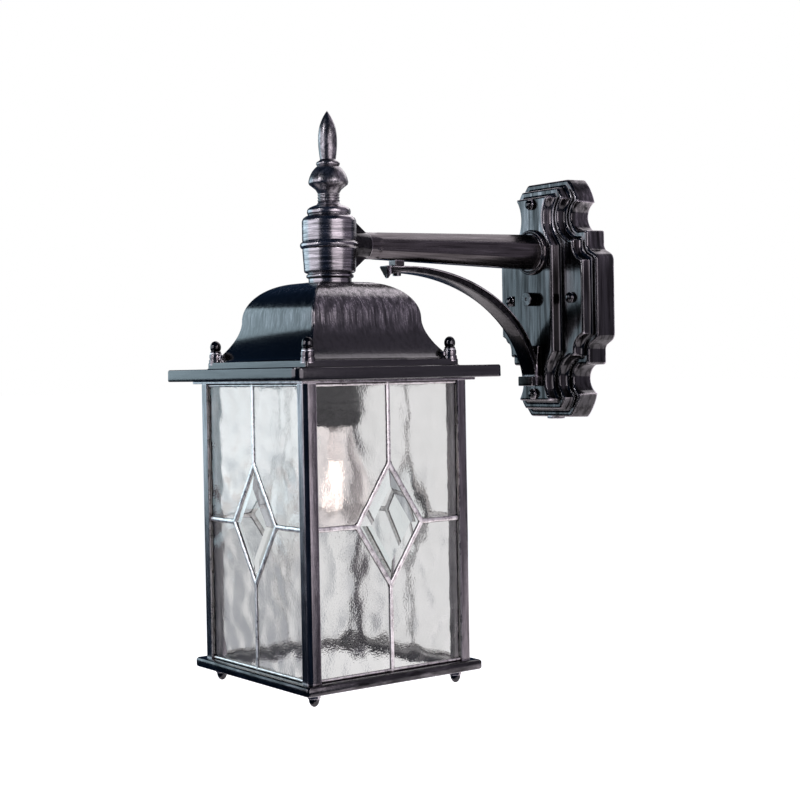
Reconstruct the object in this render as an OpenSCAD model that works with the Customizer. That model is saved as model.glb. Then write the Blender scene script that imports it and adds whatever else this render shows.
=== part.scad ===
// Outdoor wall lantern: a four-sided leaded lantern hung from a bracket arm.
// Frame: +Z up, the wall is the plane y = 0 and the lantern stands out along -Y.
// Origin: the centre of the wall plate's back, on the wall. Lengths are in millimetres.

/* [Lantern roof] */
// Distance from the wall to the lantern's vertical axis
reach = 238.5; // [225:0.5:260]
// Width of the square brim
brim_w = 181.4; // [178:0.2:190]
// Thickness of the brim
brim_t = 8.9; // [8:0.1:11]
// Height of the brim's underside above the centre of the wall plate
brim_z = -62; // [-64:0.1:-60]
// Width of the step between the brim and the dome
plinth_w = 134.6; // [133:0.2:140]
// Height of the dome's flat top above the brim's underside
dome_top = 71.7; // [68:0.1:74]

/* [Cage] */
// Outer width over the corner posts
cage_w = 143.4; // [143:0.2:150]
// Depth from the brim's underside to the bottom of the base frame
cage_h = 215.3; // [190:0.1:230]
// Width of the base frame
base_w = 154.4; // [152:0.2:160]
// Height of the base frame
base_t = 7.1; // [6:0.1:9]
// Distance of each tie rod from the lantern's centre planes
rod_at = 62.6; // [62.4:0.1:62.8]
// Diameter of the tie rods, an M5 thread
rod_d = 5; // [4:0.1:5]

/* [Leaded panes] */
// Half the width of the clear diamond
diamond_a = 28.3; // [20:0.1:34]
// Half the height of the clear diamond
diamond_b = 43; // [30:0.1:50]
// Height of the diamond's centre above the brim's underside
diamond_z = -103; // [-110:0.5:-95]
// Width of the lead came on its face
came_w = 4; // [2.6:0.1:5]

/* [Bracket] */
// Half the height of the wall plate
plate_h = 97.5; // [96:0.1:99]
// Width of the wall plate across its middle
plate_w = 114; // [113:0.2:118]
// Height of the arm's axis above the centre of the wall plate
arm_z = 38.4; // [37:0.1:39]
// Radius of the arm at the hub
arm_r_hub = 10.4; // [9.5:0.1:10.6]
// Radius of the arm at the wall plate
arm_r_wall = 14.4; // [12:0.1:15]
// Width of the curved brace
brace_w = 17; // [12:0.5:20]

/* [Lamp] */
// Diameter of the lamp's glass envelope
lamp_d = 60; // [45:1:62]
// Height of the lamp's lowest point above the brim's underside
lamp_bottom = -114; // [-125:1:-100]

/* [Hidden] */

// Colours
iron = [0.13, 0.13, 0.15];
silver = [0.62, 0.61, 0.60];
lead = [0.50, 0.49, 0.48];
steel = [0.70, 0.70, 0.72];
brass = [0.78, 0.63, 0.32];
clear = [0.85, 0.92, 0.92, 0.45];
tinted = [0.72, 0.88, 0.88, 0.5];
bakelite = [0.07, 0.07, 0.08];
warm = [1.0, 0.86, 0.66, 0.6];

// Fineness: round working faces, and steps along a curved outline
round_fn = 48;
arc_n = 16;
eps = 0.01;

// Corner signs, anticlockwise from the front left, and the turn of each side from the front
corners = [[-1, -1], [1, -1], [1, 1], [-1, 1]];
side_turns = [0, 90, 180, 270];

// Wall plate: depth of each tier from the wall, its inset from the base outline, wall thickness
tier_y = [19.5, 28.5, 37.5];
tier_inset = [0, 7, 14];
plate_wall = 3;
panel_w = 47;
// Convex corner, side bite and shoulder of the plate's outline
corner_c = [-3.5, 68];
corner_r = 40.7;
bite_c = [40.6, 66];
bite_r = 12.6;
ledge_z = 54.5;
shoulder_c = [52.3, 43];
shoulder_r = 6;
waist_r = 7.2;
waist_z = 29.5;
// Stud places on the plate: x, z and the tier that the nut sits on
stud_at = [[0, 77.5, 2], [0, -77.5, 2], [-36.5, 0, 1], [36.5, 0, 1]];
stud_d = 5;
strap_t = 2.5;
screw_span = 110;
screw_d = 5.5;
cable_hole_z = -25;
cable_hole_d = 12;

// Conduit tubes through the arm and the stem, with their hexagon nuts
tube_d = 10;
tube_bore = 7;
nut_r = 8.1;
nut_t = 4;
wire_d = 1.8;
wire_gap = 1.2;
bend_r = 6;

// Hub
hub_z = arm_z - brim_z;
hub_r = 20.25;
hub_cavity_r = 14.5;
hub_floor = 80;
hub_roof = 118;
hub_top = 129.3;
boss_end = 32.4;
boss_from = 14;
boss_half = [19.4, 18.9, 9];
boss_web = 9;
nut_seat = 14.6;
stud_finial_d = 8;

// Arm and brace, in the row's own y and z
arm_hub_y = -reach + boss_end;
collar_t = 3.5;
arm_wall_y = -tier_y[2] - collar_t;
pad_y = [-181, -172];
pad_half = 4.5;
brace_screw_y = -176.5;
brace_top_z = 23.7;
brace_thin = 5;
brace_upper = [[-170, -66], [130, 89.7]];
brace_lower = [[-176, -75], [134, 93.7]];
brace_block = [-42.3, -36, -71];
brace_plan = [[-160, 8.5], [-184, 4.7], [-190, 4.7]];
brace_toe = [-47.5, 8];

// Roof
roof_wall = 2.4;
boss_top = 20.3;
boss_d = 10.4;
brim_round = 6;
rod_clear = 0.1;
dome_mid = 44;
dome_flat = 17;
dome_waist = 48.4;
dome_foot = 64;
cavity_w = 112;

// Cage
top_t = 2;
frame_opening = 116;
leg_t = 1.5;
leg_w = 9.7;
post_boss_d = 8;
post_block = 64.7;
post_cut = 2.8;
cage_in = cage_w / 2 - leg_t;
pane_w = 129;
came_t = 3.4;
glass_t = 2.6;
border_w = 2.4;
bevel_h = 1.2;
bevel_w = 7;

// Knobs, washers and nuts
washer_t = 0.8;
knob_r = 4.1;
knob_h = 9.1;
rod_top = 27;
nut_h = 10.2;

// Lampholder and lamp
holder_r = 20;
shell_r = 14.2;
cap_r = 13.1;
cap_gap = 0.32;
cap_z = [-30.5, -9];
contact_z = -6;

// Points along an elliptical arc
function arc(c, rx, ry, from, to, n = arc_n) =
    [for (i = [0 : n]) let (a = from + (to - from) * i / n) [c[0] + rx * cos(a), c[1] + ry * sin(a)]];
// Corners of a square of width w, rounded to the radius r
function rounded_square(w, r) =
    [for (q = [0 : 3]) each
        arc([(w / 2 - r) * (q == 0 || q == 3 ? 1 : -1), (w / 2 - r) * (q < 2 ? 1 : -1)], r, r,
            90 * q, 90 * q + 90, 8)];
function mirrored_x(p) = [for (i = [len(p) - 1 : -1 : 0]) [-p[i][0], p[i][1]]];
function mirrored_y(p) = [for (i = [len(p) - 1 : -1 : 0]) [p[i][0], -p[i][1]]];

module at_lantern() { translate([0, -reach, brim_z]) children(); }
// Turns a solid drawn along +Z so that it points to the front, along -Y
module forward() { rotate([90, 0, 0]) children(); }
module square_slab(w, z0, z1) { translate([-w / 2, -w / 2, z0]) cube([w, w, z1 - z0]); }
module at_corners(d) { for (c = corners) translate([c[0] * d, c[1] * d, 0]) children(); }
module hex_nut(h) { cylinder(r = nut_r, h = h, $fn = 6); }

// ---------- Wall bracket ----------

// Upper right quarter of a plate outline that is inset by d, from the top to the middle
function bite_angle(d) =
    let (v = corner_c - bite_c, s = norm(v), r1 = corner_r - d, r2 = bite_r + d,
         along = (r2 * r2 - r1 * r1 + s * s) / (2 * s))
    atan2(v[1], v[0]) - acos(along / r2);
function corner_angle(d) =
    let (v = bite_c - corner_c, s = norm(v), r1 = corner_r - d, r2 = bite_r + d,
         along = (r1 * r1 - r2 * r2 + s * s) / (2 * s))
    acos(along / r1) + atan2(v[1], v[0]);
function crown_start(d) = asin((plate_h - d - corner_c[1]) / (corner_r - d));
function crown(d) = concat(
    [[0, plate_h - d]],
    crown_start(d) > corner_angle(d)
        ? arc(corner_c, corner_r - d, corner_r - d, crown_start(d), corner_angle(d))
        : []);
// Where the bite starts: at the corner's arc, or at the top edge when that arc has shrunk away
function bite_start(d) = crown_start(d) > corner_angle(d)
    ? bite_angle(d)
    : 180 - asin((plate_h - d - bite_c[1]) / (bite_r + d));
function waist_point(d) = [plate_w / 2 - d, waist_z - max(0, d - waist_r) / 2];
function waist(d) = let (r = waist_r - d)
    r > 1 ? arc([plate_w / 2 - waist_r, waist_z], r, r, 52, 0) : [waist_point(d)];
function tier_quarter(d) = concat(
    crown(d),
    arc(bite_c, bite_r + d, bite_r + d, bite_start(d),
        180 + asin((bite_c[1] - ledge_z + d) / (bite_r + d))),
    [[shoulder_c[0] - shoulder_r - d, ledge_z - d]],
    arc(shoulder_c, shoulder_r + d, shoulder_r + d, 180, 232),
    waist(d));
function panel_quarter(d, half) = concat(
    crown(d),
    arc(bite_c, bite_r + d, bite_r + d, bite_start(d), 210),
    [[half, 43.3]]);
function whole_outline(q) = let (right = concat(q, mirrored_y(q))) concat(right, mirrored_x(right));

module plate_solid(shrink, base_y) {
    for (i = [0 : 1])
        forward() translate([0, 0, base_y])
            linear_extrude(tier_y[i] - shrink - base_y)
                polygon(whole_outline(tier_quarter(tier_inset[i] + shrink)));
    forward() translate([0, 0, base_y])
        linear_extrude(tier_y[2] - shrink - base_y)
            polygon(whole_outline(panel_quarter(tier_inset[2] + shrink, panel_w / 2 - shrink)));
}

module wall_plate() {
    drip_y = 13;
    drip_d = 12;
    color(iron) difference() {
        union() {
            plate_solid(0, 0);
            translate([0, -drip_y, -plate_h - 1.6]) cylinder(d = drip_d, h = 6, $fn = round_fn);
        }
        plate_solid(plate_wall, -1);
        for (s = stud_at)
            translate([s[0], 0, s[1]]) forward() cylinder(d = stud_d + 0.4, h = 60, $fn = round_fn);
        forward() cylinder(d = stud_d + 0.4, h = 60, $fn = round_fn);
        translate([0, 0, arm_z]) forward() cylinder(d = tube_d + 0.4, h = 60, $fn = round_fn);
        translate([0, -drip_y, -plate_h - 3]) cylinder(d = 4, h = 12, $fn = round_fn);
    }
}

module wall_strap() {
    bar_w = 22;
    bar_l = 172;
    cross_l = 88;
    cross_w = 18;
    color(steel) difference() {
        union() {
            translate([-bar_w / 2, -strap_t, -bar_l / 2]) cube([bar_w, strap_t, bar_l]);
            translate([-cross_l / 2, -strap_t, -cross_w / 2]) cube([cross_l, strap_t, cross_w]);
        }
        for (s = [-1, 1])
            translate([0, 1, s * screw_span / 2]) forward() cylinder(d = screw_d, h = 9, $fn = round_fn);
        translate([0, 1, cable_hole_z]) forward() cylinder(d = cable_hole_d, h = 9, $fn = round_fn);
        translate([0, 1, -42]) forward() cylinder(d = 4, h = 9, $fn = round_fn);
    }
}

// Studs welded to the strap: four for the dome nuts and one in the middle
module strap_studs() {
    color(steel) translate([0, -strap_t, 0]) {
        for (s = stud_at)
            translate([s[0], 0, s[1]]) forward()
                cylinder(d = stud_d, h = tier_y[s[2]] - strap_t + 3.5, $fn = round_fn);
        forward() cylinder(d = stud_d, h = tier_y[2] - strap_t + 5, $fn = round_fn);
    }
}

module earth_screw() {
    color(brass) translate([0, 0, -42]) forward() {
        translate([0, 0, 0.2]) cylinder(d = 4, h = 7, $fn = round_fn);
        translate([0, 0, strap_t]) cylinder(d = 9, h = 0.8, $fn = round_fn);
        translate([0, 0, strap_t + 0.8]) cylinder(d = 7.4, h = 2.6, $fn = round_fn);
    }
}

module terminal_block() {
    block = [28, 12.5, 16];
    color(bakelite) difference() {
        translate([-block[0] / 2, -strap_t - block[1], 10]) cube(block);
        for (x = [-9, 0, 9])
            translate([x, -strap_t - block[1] - 1, 18]) rotate([-90, 0, 0])
                cylinder(d = 5, h = 6, $fn = round_fn);
    }
}

// A domed hexagon nut standing on z = 0, with a blind thread
module dome_nut(flats, hex_h, h, bore_h) {
    r = flats / 2;
    difference() {
        union() {
            cylinder(d = flats / cos(30), h = hex_h, $fn = 6);
            rotate_extrude($fn = round_fn)
                polygon(concat([[0, 0], [r, 0]], arc([0, hex_h], r, h - hex_h, 0, 90, 12)));
        }
        translate([0, 0, -1]) cylinder(d = stud_d, h = bore_h + 1, $fn = round_fn);
    }
}

module plate_nuts() {
    color(iron) for (s = stud_at)
        translate([s[0], -tier_y[s[2]], s[1]]) forward() dome_nut(8.6, 2.2, 5.2, 3.6);
}

module centre_nut() {
    d = 11.3;
    h = 7.3;
    edge = 0.6;
    color(iron) translate([0, -tier_y[2], 0]) forward() difference() {
        rotate_extrude($fn = round_fn)
            polygon([[0, 0], [d / 2, 0], [d / 2, h - edge], [d / 2 - edge, h], [0, h]]);
        translate([0, 0, -1]) cylinder(d = stud_d, h = 6.1, $fn = round_fn);
        translate([0, 0, h - 0.6]) cylinder(d = 2.4, h = 1, $fn = round_fn);
    }
}

// ---------- Arm and brace ----------

module arm_collar() {
    r = 18.6;
    color(iron) translate([0, -tier_y[2], arm_z]) forward() difference() {
        rotate_extrude($fn = round_fn)
            polygon(concat([[0, 0], [r, 0]],
                arc([r - 1.6, 1.6], 1.6, 1.6, 0, 90, 8),
                [[r - 3, 2.4], [r - 3.6, collar_t], [0, collar_t]]));
        translate([0, 0, -1]) cylinder(d = tube_d + 0.4, h = 8, $fn = round_fn);
    }
}

// Eight-sided tapered arm with a round spigot at the hub and a pad for the brace
module arm() {
    taper_start = 10;
    length = arm_wall_y - arm_hub_y;
    color(iron) difference() {
        union() {
            translate([0, arm_wall_y, arm_z]) forward() rotate([0, 0, 22.5])
                cylinder(r1 = arm_r_wall / cos(22.5), r2 = arm_r_hub / cos(22.5),
                         h = length - taper_start, $fn = 8);
            translate([0, arm_wall_y - 40, arm_z]) forward()
                cylinder(r = arm_r_hub, h = length - 40, $fn = round_fn);
            translate([-pad_half, pad_y[0], brace_top_z]) cube([2 * pad_half, pad_y[1] - pad_y[0], 6]);
        }
        translate([0, arm_wall_y + 1, arm_z]) forward()
            cylinder(d = tube_d + 0.4, h = length + 2, $fn = round_fn);
        translate([0, brace_screw_y, brace_top_z - 1]) cylinder(d = 4, h = 8, $fn = round_fn);
    }
}

module arm_tube() {
    hub_end = -reach + 9;
    wall_end = -28;
    color(brass) translate([0, wall_end, arm_z]) forward() difference() {
        cylinder(d = tube_d, h = wall_end - hub_end, $fn = round_fn);
        translate([0, 0, -1]) cylinder(d = tube_bore, h = wall_end - hub_end + 2, $fn = round_fn);
    }
}

module tube_nut() {
    difference() {
        hex_nut(nut_t);
        translate([0, 0, -1]) cylinder(d = tube_d, h = nut_t + 2, $fn = round_fn);
    }
}

module arm_nuts() {
    color(brass) {
        translate([0, -tier_y[2] + plate_wall + nut_t, arm_z]) forward() tube_nut();
        translate([0, -reach + nut_seat, arm_z]) forward() tube_nut();
    }
}

// Side outline of the brace: upper edge, block against the plate, lower edge and pointed tip
function curve_angle(e, y) = acos((y - e[0][0]) / e[1][0]);
function brace_side() = concat(
    arc(brace_upper[0], brace_upper[1][0], brace_upper[1][1], 90,
        curve_angle(brace_upper, brace_block[0])),
    [[brace_block[0], brace_block[1]], [-tier_y[2], brace_block[1]],
     [-tier_y[2], brace_block[2]], [brace_block[0], brace_block[2]]],
    arc(brace_lower[0], brace_lower[1][0], brace_lower[1][1],
        curve_angle(brace_lower, brace_block[0]), 90),
    [[-184.5, brace_top_z - brace_thin], [-186.5, 14], [-189.6, 22.6], [-188.9, brace_top_z]]);

module across_x(w) { translate([-w / 2, 0, 0]) rotate([90, 0, 90]) linear_extrude(w) children(); }

module brace() {
    web_w = brace_w - 4;
    groove = 1.8;
    color(iron) difference() {
        union() {
            intersection() {
                across_x(brace_w) polygon(brace_side());
                translate([0, 0, brace_block[2] - 1]) linear_extrude(100)
                    polygon(concat([[brace_w / 2, 0]],
                        [for (p = brace_plan) [p[1], p[0]]],
                        [for (i = [len(brace_plan) - 1 : -1 : 0]) [-brace_plan[i][1], brace_plan[i][0]]],
                        [[-brace_w / 2, 0]]));
            }
            translate([-brace_w / 2, brace_toe[0], brace_block[2]])
                cube([brace_w, -tier_y[2] - brace_toe[0], brace_toe[1]]);
        }
        // A groove along each side, below the upper flange
        for (s = [-1, 1])
            translate([s * (web_w / 2 + 2), 0, 0]) across_x(4)
                polygon(concat(
                    arc(brace_upper[0], brace_upper[1][0] - groove, brace_upper[1][1] - groove, 88, 26),
                    arc(brace_upper[0], brace_upper[1][0] - 2 * groove,
                        brace_upper[1][1] - 2 * groove, 26, 88)));
        translate([0, brace_screw_y, 0]) cylinder(d = 4.4, h = 40, $fn = round_fn);
    }
}

module brace_screw() {
    head_z = brace_top_z - brace_thin;
    color(steel) translate([0, brace_screw_y, 0]) {
        translate([0, 0, head_z - 2.5]) cylinder(d = 6.4, h = 2.4, $fn = round_fn);
        translate([0, 0, head_z - 0.2]) cylinder(d = 4, h = brace_thin + 5, $fn = round_fn);
    }
}

// ---------- Hub, finial and stem ----------

module hub() {
    bead = [1.8, 2.6];
    color(iron) at_lantern() difference() {
        union() {
            rotate_extrude($fn = round_fn * 2) polygon(concat(
                [[0, dome_top], [16.2, dome_top], [16.2, 75.4], [17.7, 75.9], [17.7, 77.7],
                 [16.6, 78.3], [18.6, 79.2], [19.2, 80], [hub_r, hub_z - bead[1]]],
                arc([hub_r, hub_z], bead[0], bead[1], -90, 90, 12),
                [[hub_r, 117.6]],
                arc([hub_r - 3, 117.6], 3, 3.9, 0, 80, 8),
                [[15.6, 121.8], [16.3, 122.9], [16.4, 124.2], [16.2, 125.3], [15.6, 126.5], [14.3, 127.5],
                 [12.5, 128.3], [9.8, hub_top], [0, hub_top]]));
            // Boss for the arm, with a tapered web above and below it
            translate([0, boss_end, hub_z]) forward()
                cylinder(r1 = arm_r_hub, r2 = arm_r_hub + 0.3, h = boss_end - boss_from, $fn = round_fn);
            translate([0, 0, hub_z]) across_x(boss_web) polygon([
                [boss_from, boss_half[1]], [boss_half[0], boss_half[1]], [boss_end - 0.5, boss_half[2]],
                [boss_end - 0.5, -boss_half[2]], [boss_half[0], -boss_half[1]], [boss_from, -boss_half[1]]]);
        }
        translate([0, 0, hub_floor]) cylinder(r = hub_cavity_r, h = hub_roof - hub_floor, $fn = round_fn);
        translate([0, 0, 60]) cylinder(d = tube_d + 0.2, h = 30, $fn = round_fn);
        translate([0, 0, 100]) cylinder(d = stud_finial_d, h = 40, $fn = round_fn);
        translate([0, boss_end + 1, hub_z]) forward()
            cylinder(d = tube_d + 0.4, h = boss_end, $fn = round_fn);
        translate([0, nut_seat, hub_z]) forward() cylinder(d = 17, h = nut_seat, $fn = round_fn);
    }
}

// Turned spike over an onion, with a stud into the hub
module finial() {
    spike_r = 7.08;
    color(iron) at_lantern() rotate_extrude($fn = round_fn) polygon(concat(
        [[0, hub_roof + 1], [stud_finial_d / 2, hub_roof + 1], [stud_finial_d / 2, hub_top],
         [9.4, hub_top], [8.3, 130.8], [8.2, 136.8], [8.4, 138.5], [9.7, 140.7], [12.5, 143], [14.4, 144.3],
         [14.9, 146], [14.7, 147.6], [14.1, 149.7], [13.2, 151.9], [12, 154.1], [10.3, 156.3], [9, 157.8],
         [8.9, 161.2], [8.2, 162.6], [5.9, 163.1], [6.3, 165], [6.8, 170], [spike_r, 175.5]],
        [for (i = [1 : 14]) let (t = i / 14) [spike_r * (1 - pow(t, 2.6)), 175.5 + 23.9 * t]]));
}

module stem_tube() {
    z = [2, 88];
    color(brass) at_lantern() difference() {
        translate([0, 0, z[0]]) cylinder(d = tube_d, h = z[1] - z[0], $fn = round_fn);
        translate([0, 0, z[0] - 1]) cylinder(d = tube_bore, h = z[1] - z[0] + 2, $fn = round_fn);
    }
}

// One nut on the hub's floor and one under the dome
module stem_nuts() {
    color(brass) at_lantern() for (z = [hub_floor, dome_top - 3 - nut_t])
        translate([0, 0, z]) tube_nut();
}

// ---------- Roof ----------

// Half width of the dome at the heights of its ogee, from the foot to the flat top
function ogee(cut, foot) = concat(
    [for (i = [0 : arc_n]) let (t = 1 - i / arc_n)
        [dome_waist - cut + (foot - dome_waist + cut) * pow(t, 1.8),
         dome_mid - (dome_mid - brim_t - 5.1) * t]],
    arc([dome_flat, dome_mid], dome_waist - dome_flat - cut, dome_top - dome_mid - cut, 6, 90));

// A square dome: where two long mouldings of the same profile cross
module square_dome(cut, foot, foot_z) {
    p = ogee(cut, foot);
    outline = concat([[p[0][0], foot_z]], p, mirrored_x(p), [[-p[0][0], foot_z]]);
    intersection() {
        translate([0, brim_w / 2, 0]) rotate([90, 0, 0]) linear_extrude(brim_w) polygon(outline);
        translate([-brim_w / 2, 0, 0]) rotate([90, 0, 90]) linear_extrude(brim_w) polygon(outline);
    }
}

module roof() {
    plinth_top = brim_t + 5.1;
    web_w = 7;
    web_top = boss_top - 0.6;
    color(iron) at_lantern() difference() {
        union() {
            linear_extrude(brim_t) polygon(rounded_square(brim_w, brim_round));
            square_slab(plinth_w, brim_t - 1, plinth_top);
            square_dome(0, dome_foot, plinth_top - 1);
            at_corners(rod_at) cylinder(d = boss_d, h = boss_top, $fn = round_fn);
            for (a = [0 : 3]) rotate([0, 0, 45 + 90 * a])
                translate([rod_at * sqrt(2) - 14, -web_w / 2, plinth_top - 1])
                    cube([14, web_w, web_top - plinth_top + 1]);
        }
        square_dome(roof_wall + 0.6, cavity_w / 2, -1);
        at_corners(rod_at) translate([0, 0, -1]) cylinder(d = rod_d + rod_clear, h = 40, $fn = round_fn);
        cylinder(d = tube_d + 0.2, h = 90, $fn = round_fn);
    }
}

// ---------- Wiring and lampholder ----------

// A quarter bend in the plane x = 0 that starts towards the angle "from"
module bend(c, from) {
    translate([0, c[0], c[1]]) rotate([90, 0, 90]) rotate([0, 0, from])
        rotate_extrude(angle = 90, $fn = round_fn) translate([bend_r, 0]) circle(d = wire_d, $fn = 16);
}

// Two leads inside the stem, the hub and the arm, down to the terminal block
module lead_wires() {
    bottom = brim_z - 2.8;
    block_top = 26;
    drop_y = -9;
    turn_z = arm_z - bend_r;
    color("dimgray") for (s = [-1, 1]) translate([s * wire_gap, 0, 0]) {
        translate([0, -reach, bottom]) cylinder(d = wire_d, h = turn_z - bottom, $fn = 16);
        bend([-reach + bend_r, turn_z], 90);
        translate([0, drop_y - bend_r, arm_z]) forward()
            cylinder(d = wire_d, h = reach + drop_y - 2 * bend_r, $fn = 16);
        bend([drop_y - bend_r, turn_z], 0);
        translate([0, drop_y, block_top]) cylinder(d = wire_d, h = turn_z - block_top, $fn = 16);
    }
}

module holder_body() {
    color(bakelite) at_lantern() rotate_extrude($fn = round_fn) polygon([
        [shell_r, -28], [holder_r - 1, -28], [holder_r - 1, -24], [holder_r, -23.4], [holder_r, -2],
        [holder_r - 3, 2], [9, 5], [9, 12], [tube_d / 2, 12], [tube_d / 2, 2], [3, 2],
        [3, -3], [6, -3], [6, -4], [shell_r, -4]]);
}

module holder_shell() {
    color(brass) at_lantern() rotate_extrude($fn = round_fn)
        polygon([[cap_r + cap_gap, -28], [shell_r, -28], [shell_r, -6], [cap_r + cap_gap, -6]]);
}

module holder_contact() {
    color(brass) at_lantern() translate([0, 0, contact_z]) difference() {
        union() {
            cylinder(r = 4, h = 1.2, $fn = round_fn);
            cylinder(r = 5.8, h = -3 - contact_z, $fn = round_fn);
        }
        translate([0, 0, 1.2]) cylinder(r = 4.6, h = 3, $fn = round_fn);
    }
}

module shade_ring() {
    color(bakelite) at_lantern() rotate_extrude($fn = round_fn) polygon([
        [cap_r + 0.8, -33.6], [21, -33.6], [22, -32.4], [22, -25], [21.4, -24],
        [holder_r - 1, -24], [holder_r - 1, -28], [cap_r + 0.8, -28]]);
}

// ---------- Lamp ----------

module lamp_tip() {
    color(brass) at_lantern() rotate_extrude($fn = round_fn)
        polygon([[0, -9], [4.6, -9], [3.4, -7], [3, contact_z - 0.1], [0, contact_z - 0.1]]);
}

module lamp_cap() {
    color(steel) at_lantern() rotate_extrude($fn = round_fn) polygon([
        [12.4, cap_z[0]], [cap_r, cap_z[0]], [cap_r, -13], [10, -10.4], [5, cap_z[1]], [5, -9.6],
        [9.6, -11], [12.4, -13.6]]);
}

// Outline of the lamp's envelope at a wall offset of cut
function bulb(cut) =
    let (r = lamp_d / 2, c = lamp_bottom + r)
    concat(arc([0, c], r - cut, r - cut, -90, 38),
        [[cap_r + 4.4 - cut, cap_z[0] - 24], [cap_r + 0.6 - cut, cap_z[0] - 12],
         [12.4 - cut, cap_z[0] - 3.2]]);

module lamp_glass() {
    color(warm) at_lantern() rotate_extrude($fn = round_fn) difference() {
        polygon(concat(bulb(0), [[12.4, cap_z[0] + 3], [0, cap_z[0] + 3]]));
        polygon(concat(bulb(0.9), [[11.5, cap_z[0] + 4], [0, cap_z[0] + 4]]));
    }
}

module lamp_stem() {
    color(clear) at_lantern() rotate_extrude($fn = round_fn) polygon([
        [0, cap_z[0] + 2.8], [11.5, cap_z[0] + 2.8], [11.5, cap_z[0] + 1.6], [5, -34], [3.4, -40],
        [3, -62], [0, -62]]);
}

module lamp_filament() {
    color(warm) at_lantern() for (a = [45 : 90 : 315]) rotate([0, 0, a])
        translate([6, 0, -96]) rotate([0, -6, 0]) cylinder(d = 2, h = 34, $fn = 16);
}

// ---------- Cage ----------

module frame_ring(w, z0, z1) {
    difference() {
        square_slab(w, z0, z1);
        square_slab(frame_opening, z0 - 1, z1 + 1);
        at_corners(rod_at) translate([0, 0, z0 - 1])
            cylinder(d = rod_d + 0.2, h = z1 - z0 + 2, $fn = round_fn);
    }
}

module cage_top() { color(iron) at_lantern() frame_ring(151.8, -top_t, 0); }

module cage_base() {
    lip = 1.2;
    color(iron) at_lantern() {
        frame_ring(base_w, -cage_h + lip, -cage_h + base_t - lip);
        frame_ring(base_w - 2 * lip, -cage_h, -cage_h + base_t);
    }
}

// An angle post with a round inner boss that the tie rod runs through
module post(c) {
    h = cage_h - base_t - top_t;
    outer = cage_w / 2;
    leg = outer - leg_w;
    color(iron) at_lantern() translate([0, 0, -top_t - h]) mirror([c[0] < 0 ? 1 : 0, 0, 0])
        mirror([0, c[1] < 0 ? 1 : 0, 0]) difference() {
            union() {
                linear_extrude(h) polygon([
                    [leg, outer], [outer - post_cut, outer], [outer, outer - post_cut], [outer, leg],
                    [cage_in, leg], [cage_in, post_block], [post_block, cage_in], [leg, cage_in]]);
                translate([post_block, post_block, 0]) cube([4.2, 4.2, h]);
                translate([rod_at, rod_at, 0]) cylinder(d = post_boss_d, h = h, $fn = round_fn);
            }
            translate([rod_at, rod_at, -1]) cylinder(d = rod_d + 0.2, h = h + 2, $fn = round_fn);
        }
}

module tie_rods() {
    bottom = -cage_h - 7;
    color(steel) at_lantern() at_corners(rod_at) translate([0, 0, bottom])
        cylinder(d = rod_d, h = rod_top - bottom, $fn = round_fn);
}

module base_nuts() {
    color(iron) at_lantern() at_corners(rod_at) translate([0, 0, -cage_h]) rotate([180, 0, 0])
        dome_nut(8, 4.6, nut_h, 7);
}

// A pane is drawn as the front one, in x and z about the diamond's centre, then turned to its side
pane_top = -top_t - diamond_z;
pane_bottom = -cage_h + base_t - diamond_z;
half_came = came_w / 2;
slant = norm([1 / diamond_a, 1 / diamond_b]);

module pane_slab(side, near, far) {
    at_lantern() rotate([0, 0, side_turns[side]]) translate([0, -near, diamond_z]) forward()
        linear_extrude(far - near) children();
}
module diamond_2d(grow) {
    k = 1 + grow * slant;
    polygon([[diamond_a * k, 0], [0, diamond_b * k], [-diamond_a * k, 0], [0, -diamond_b * k]]);
}
// One of the four textured pieces: a rectangle with its inner corner cut off by the diamond
module quarter_2d(sx, limit) {
    k = 1 + half_came * slant;
    sz = sign(limit);
    edge = pane_w / 2 - border_w;
    polygon([[sx * half_came, sz * diamond_b * (k - half_came / diamond_a)], [sx * half_came, limit],
             [sx * edge, limit], [sx * edge, sz * half_came],
             [sx * diamond_a * (k - half_came / diamond_b), sz * half_came]]);
}
module quarters_2d() {
    for (sx = [-1, 1]) {
        quarter_2d(sx, pane_top - border_w / 2);
        quarter_2d(sx, pane_bottom + border_w / 2);
    }
}
glass_in = cage_in - came_t + (came_t - glass_t) / 2;

module glass(side) { color(clear) pane_slab(side, glass_in, glass_in + glass_t) quarters_2d(); }

module came(side) {
    color(lead) pane_slab(side, cage_in - came_t, cage_in) difference() {
        translate([-pane_w / 2, pane_bottom]) square([pane_w, pane_top - pane_bottom]);
        quarters_2d();
        diamond_2d(-half_came);
    }
}

// Thick clear diamond with a bevel all round its outer face
module diamond(side) {
    face = glass_in + glass_t;
    color(tinted) {
        pane_slab(side, glass_in, face) diamond_2d(-half_came);
        hull() {
            pane_slab(side, face - eps, face) diamond_2d(-half_came);
            pane_slab(side, face, face + bevel_h) diamond_2d(-half_came - bevel_w);
        }
    }
}

// ---------- Roof knobs ----------

module washer(c) {
    color(steel) at_lantern() translate([c[0] * rod_at, c[1] * rod_at, boss_top]) difference() {
        cylinder(r = knob_r + 0.3, h = washer_t, $fn = round_fn);
        translate([0, 0, -1]) cylinder(d = rod_d + rod_clear, h = 3, $fn = round_fn);
    }
}

module knob(c) {
    foot = 1.2;
    color(silver) at_lantern() translate([c[0] * rod_at, c[1] * rod_at, boss_top + washer_t])
        difference() {
            rotate_extrude($fn = round_fn) polygon(concat([[0, 0], [3.6, 0], [3.9, foot]],
                arc([0, 4.5], knob_r, knob_h - 4.5, -30, 90, 12)));
            translate([0, 0, -1])
                cylinder(d = rod_d + rod_clear, h = rod_top - boss_top - washer_t + 1.3, $fn = round_fn);
        }
}

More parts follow.
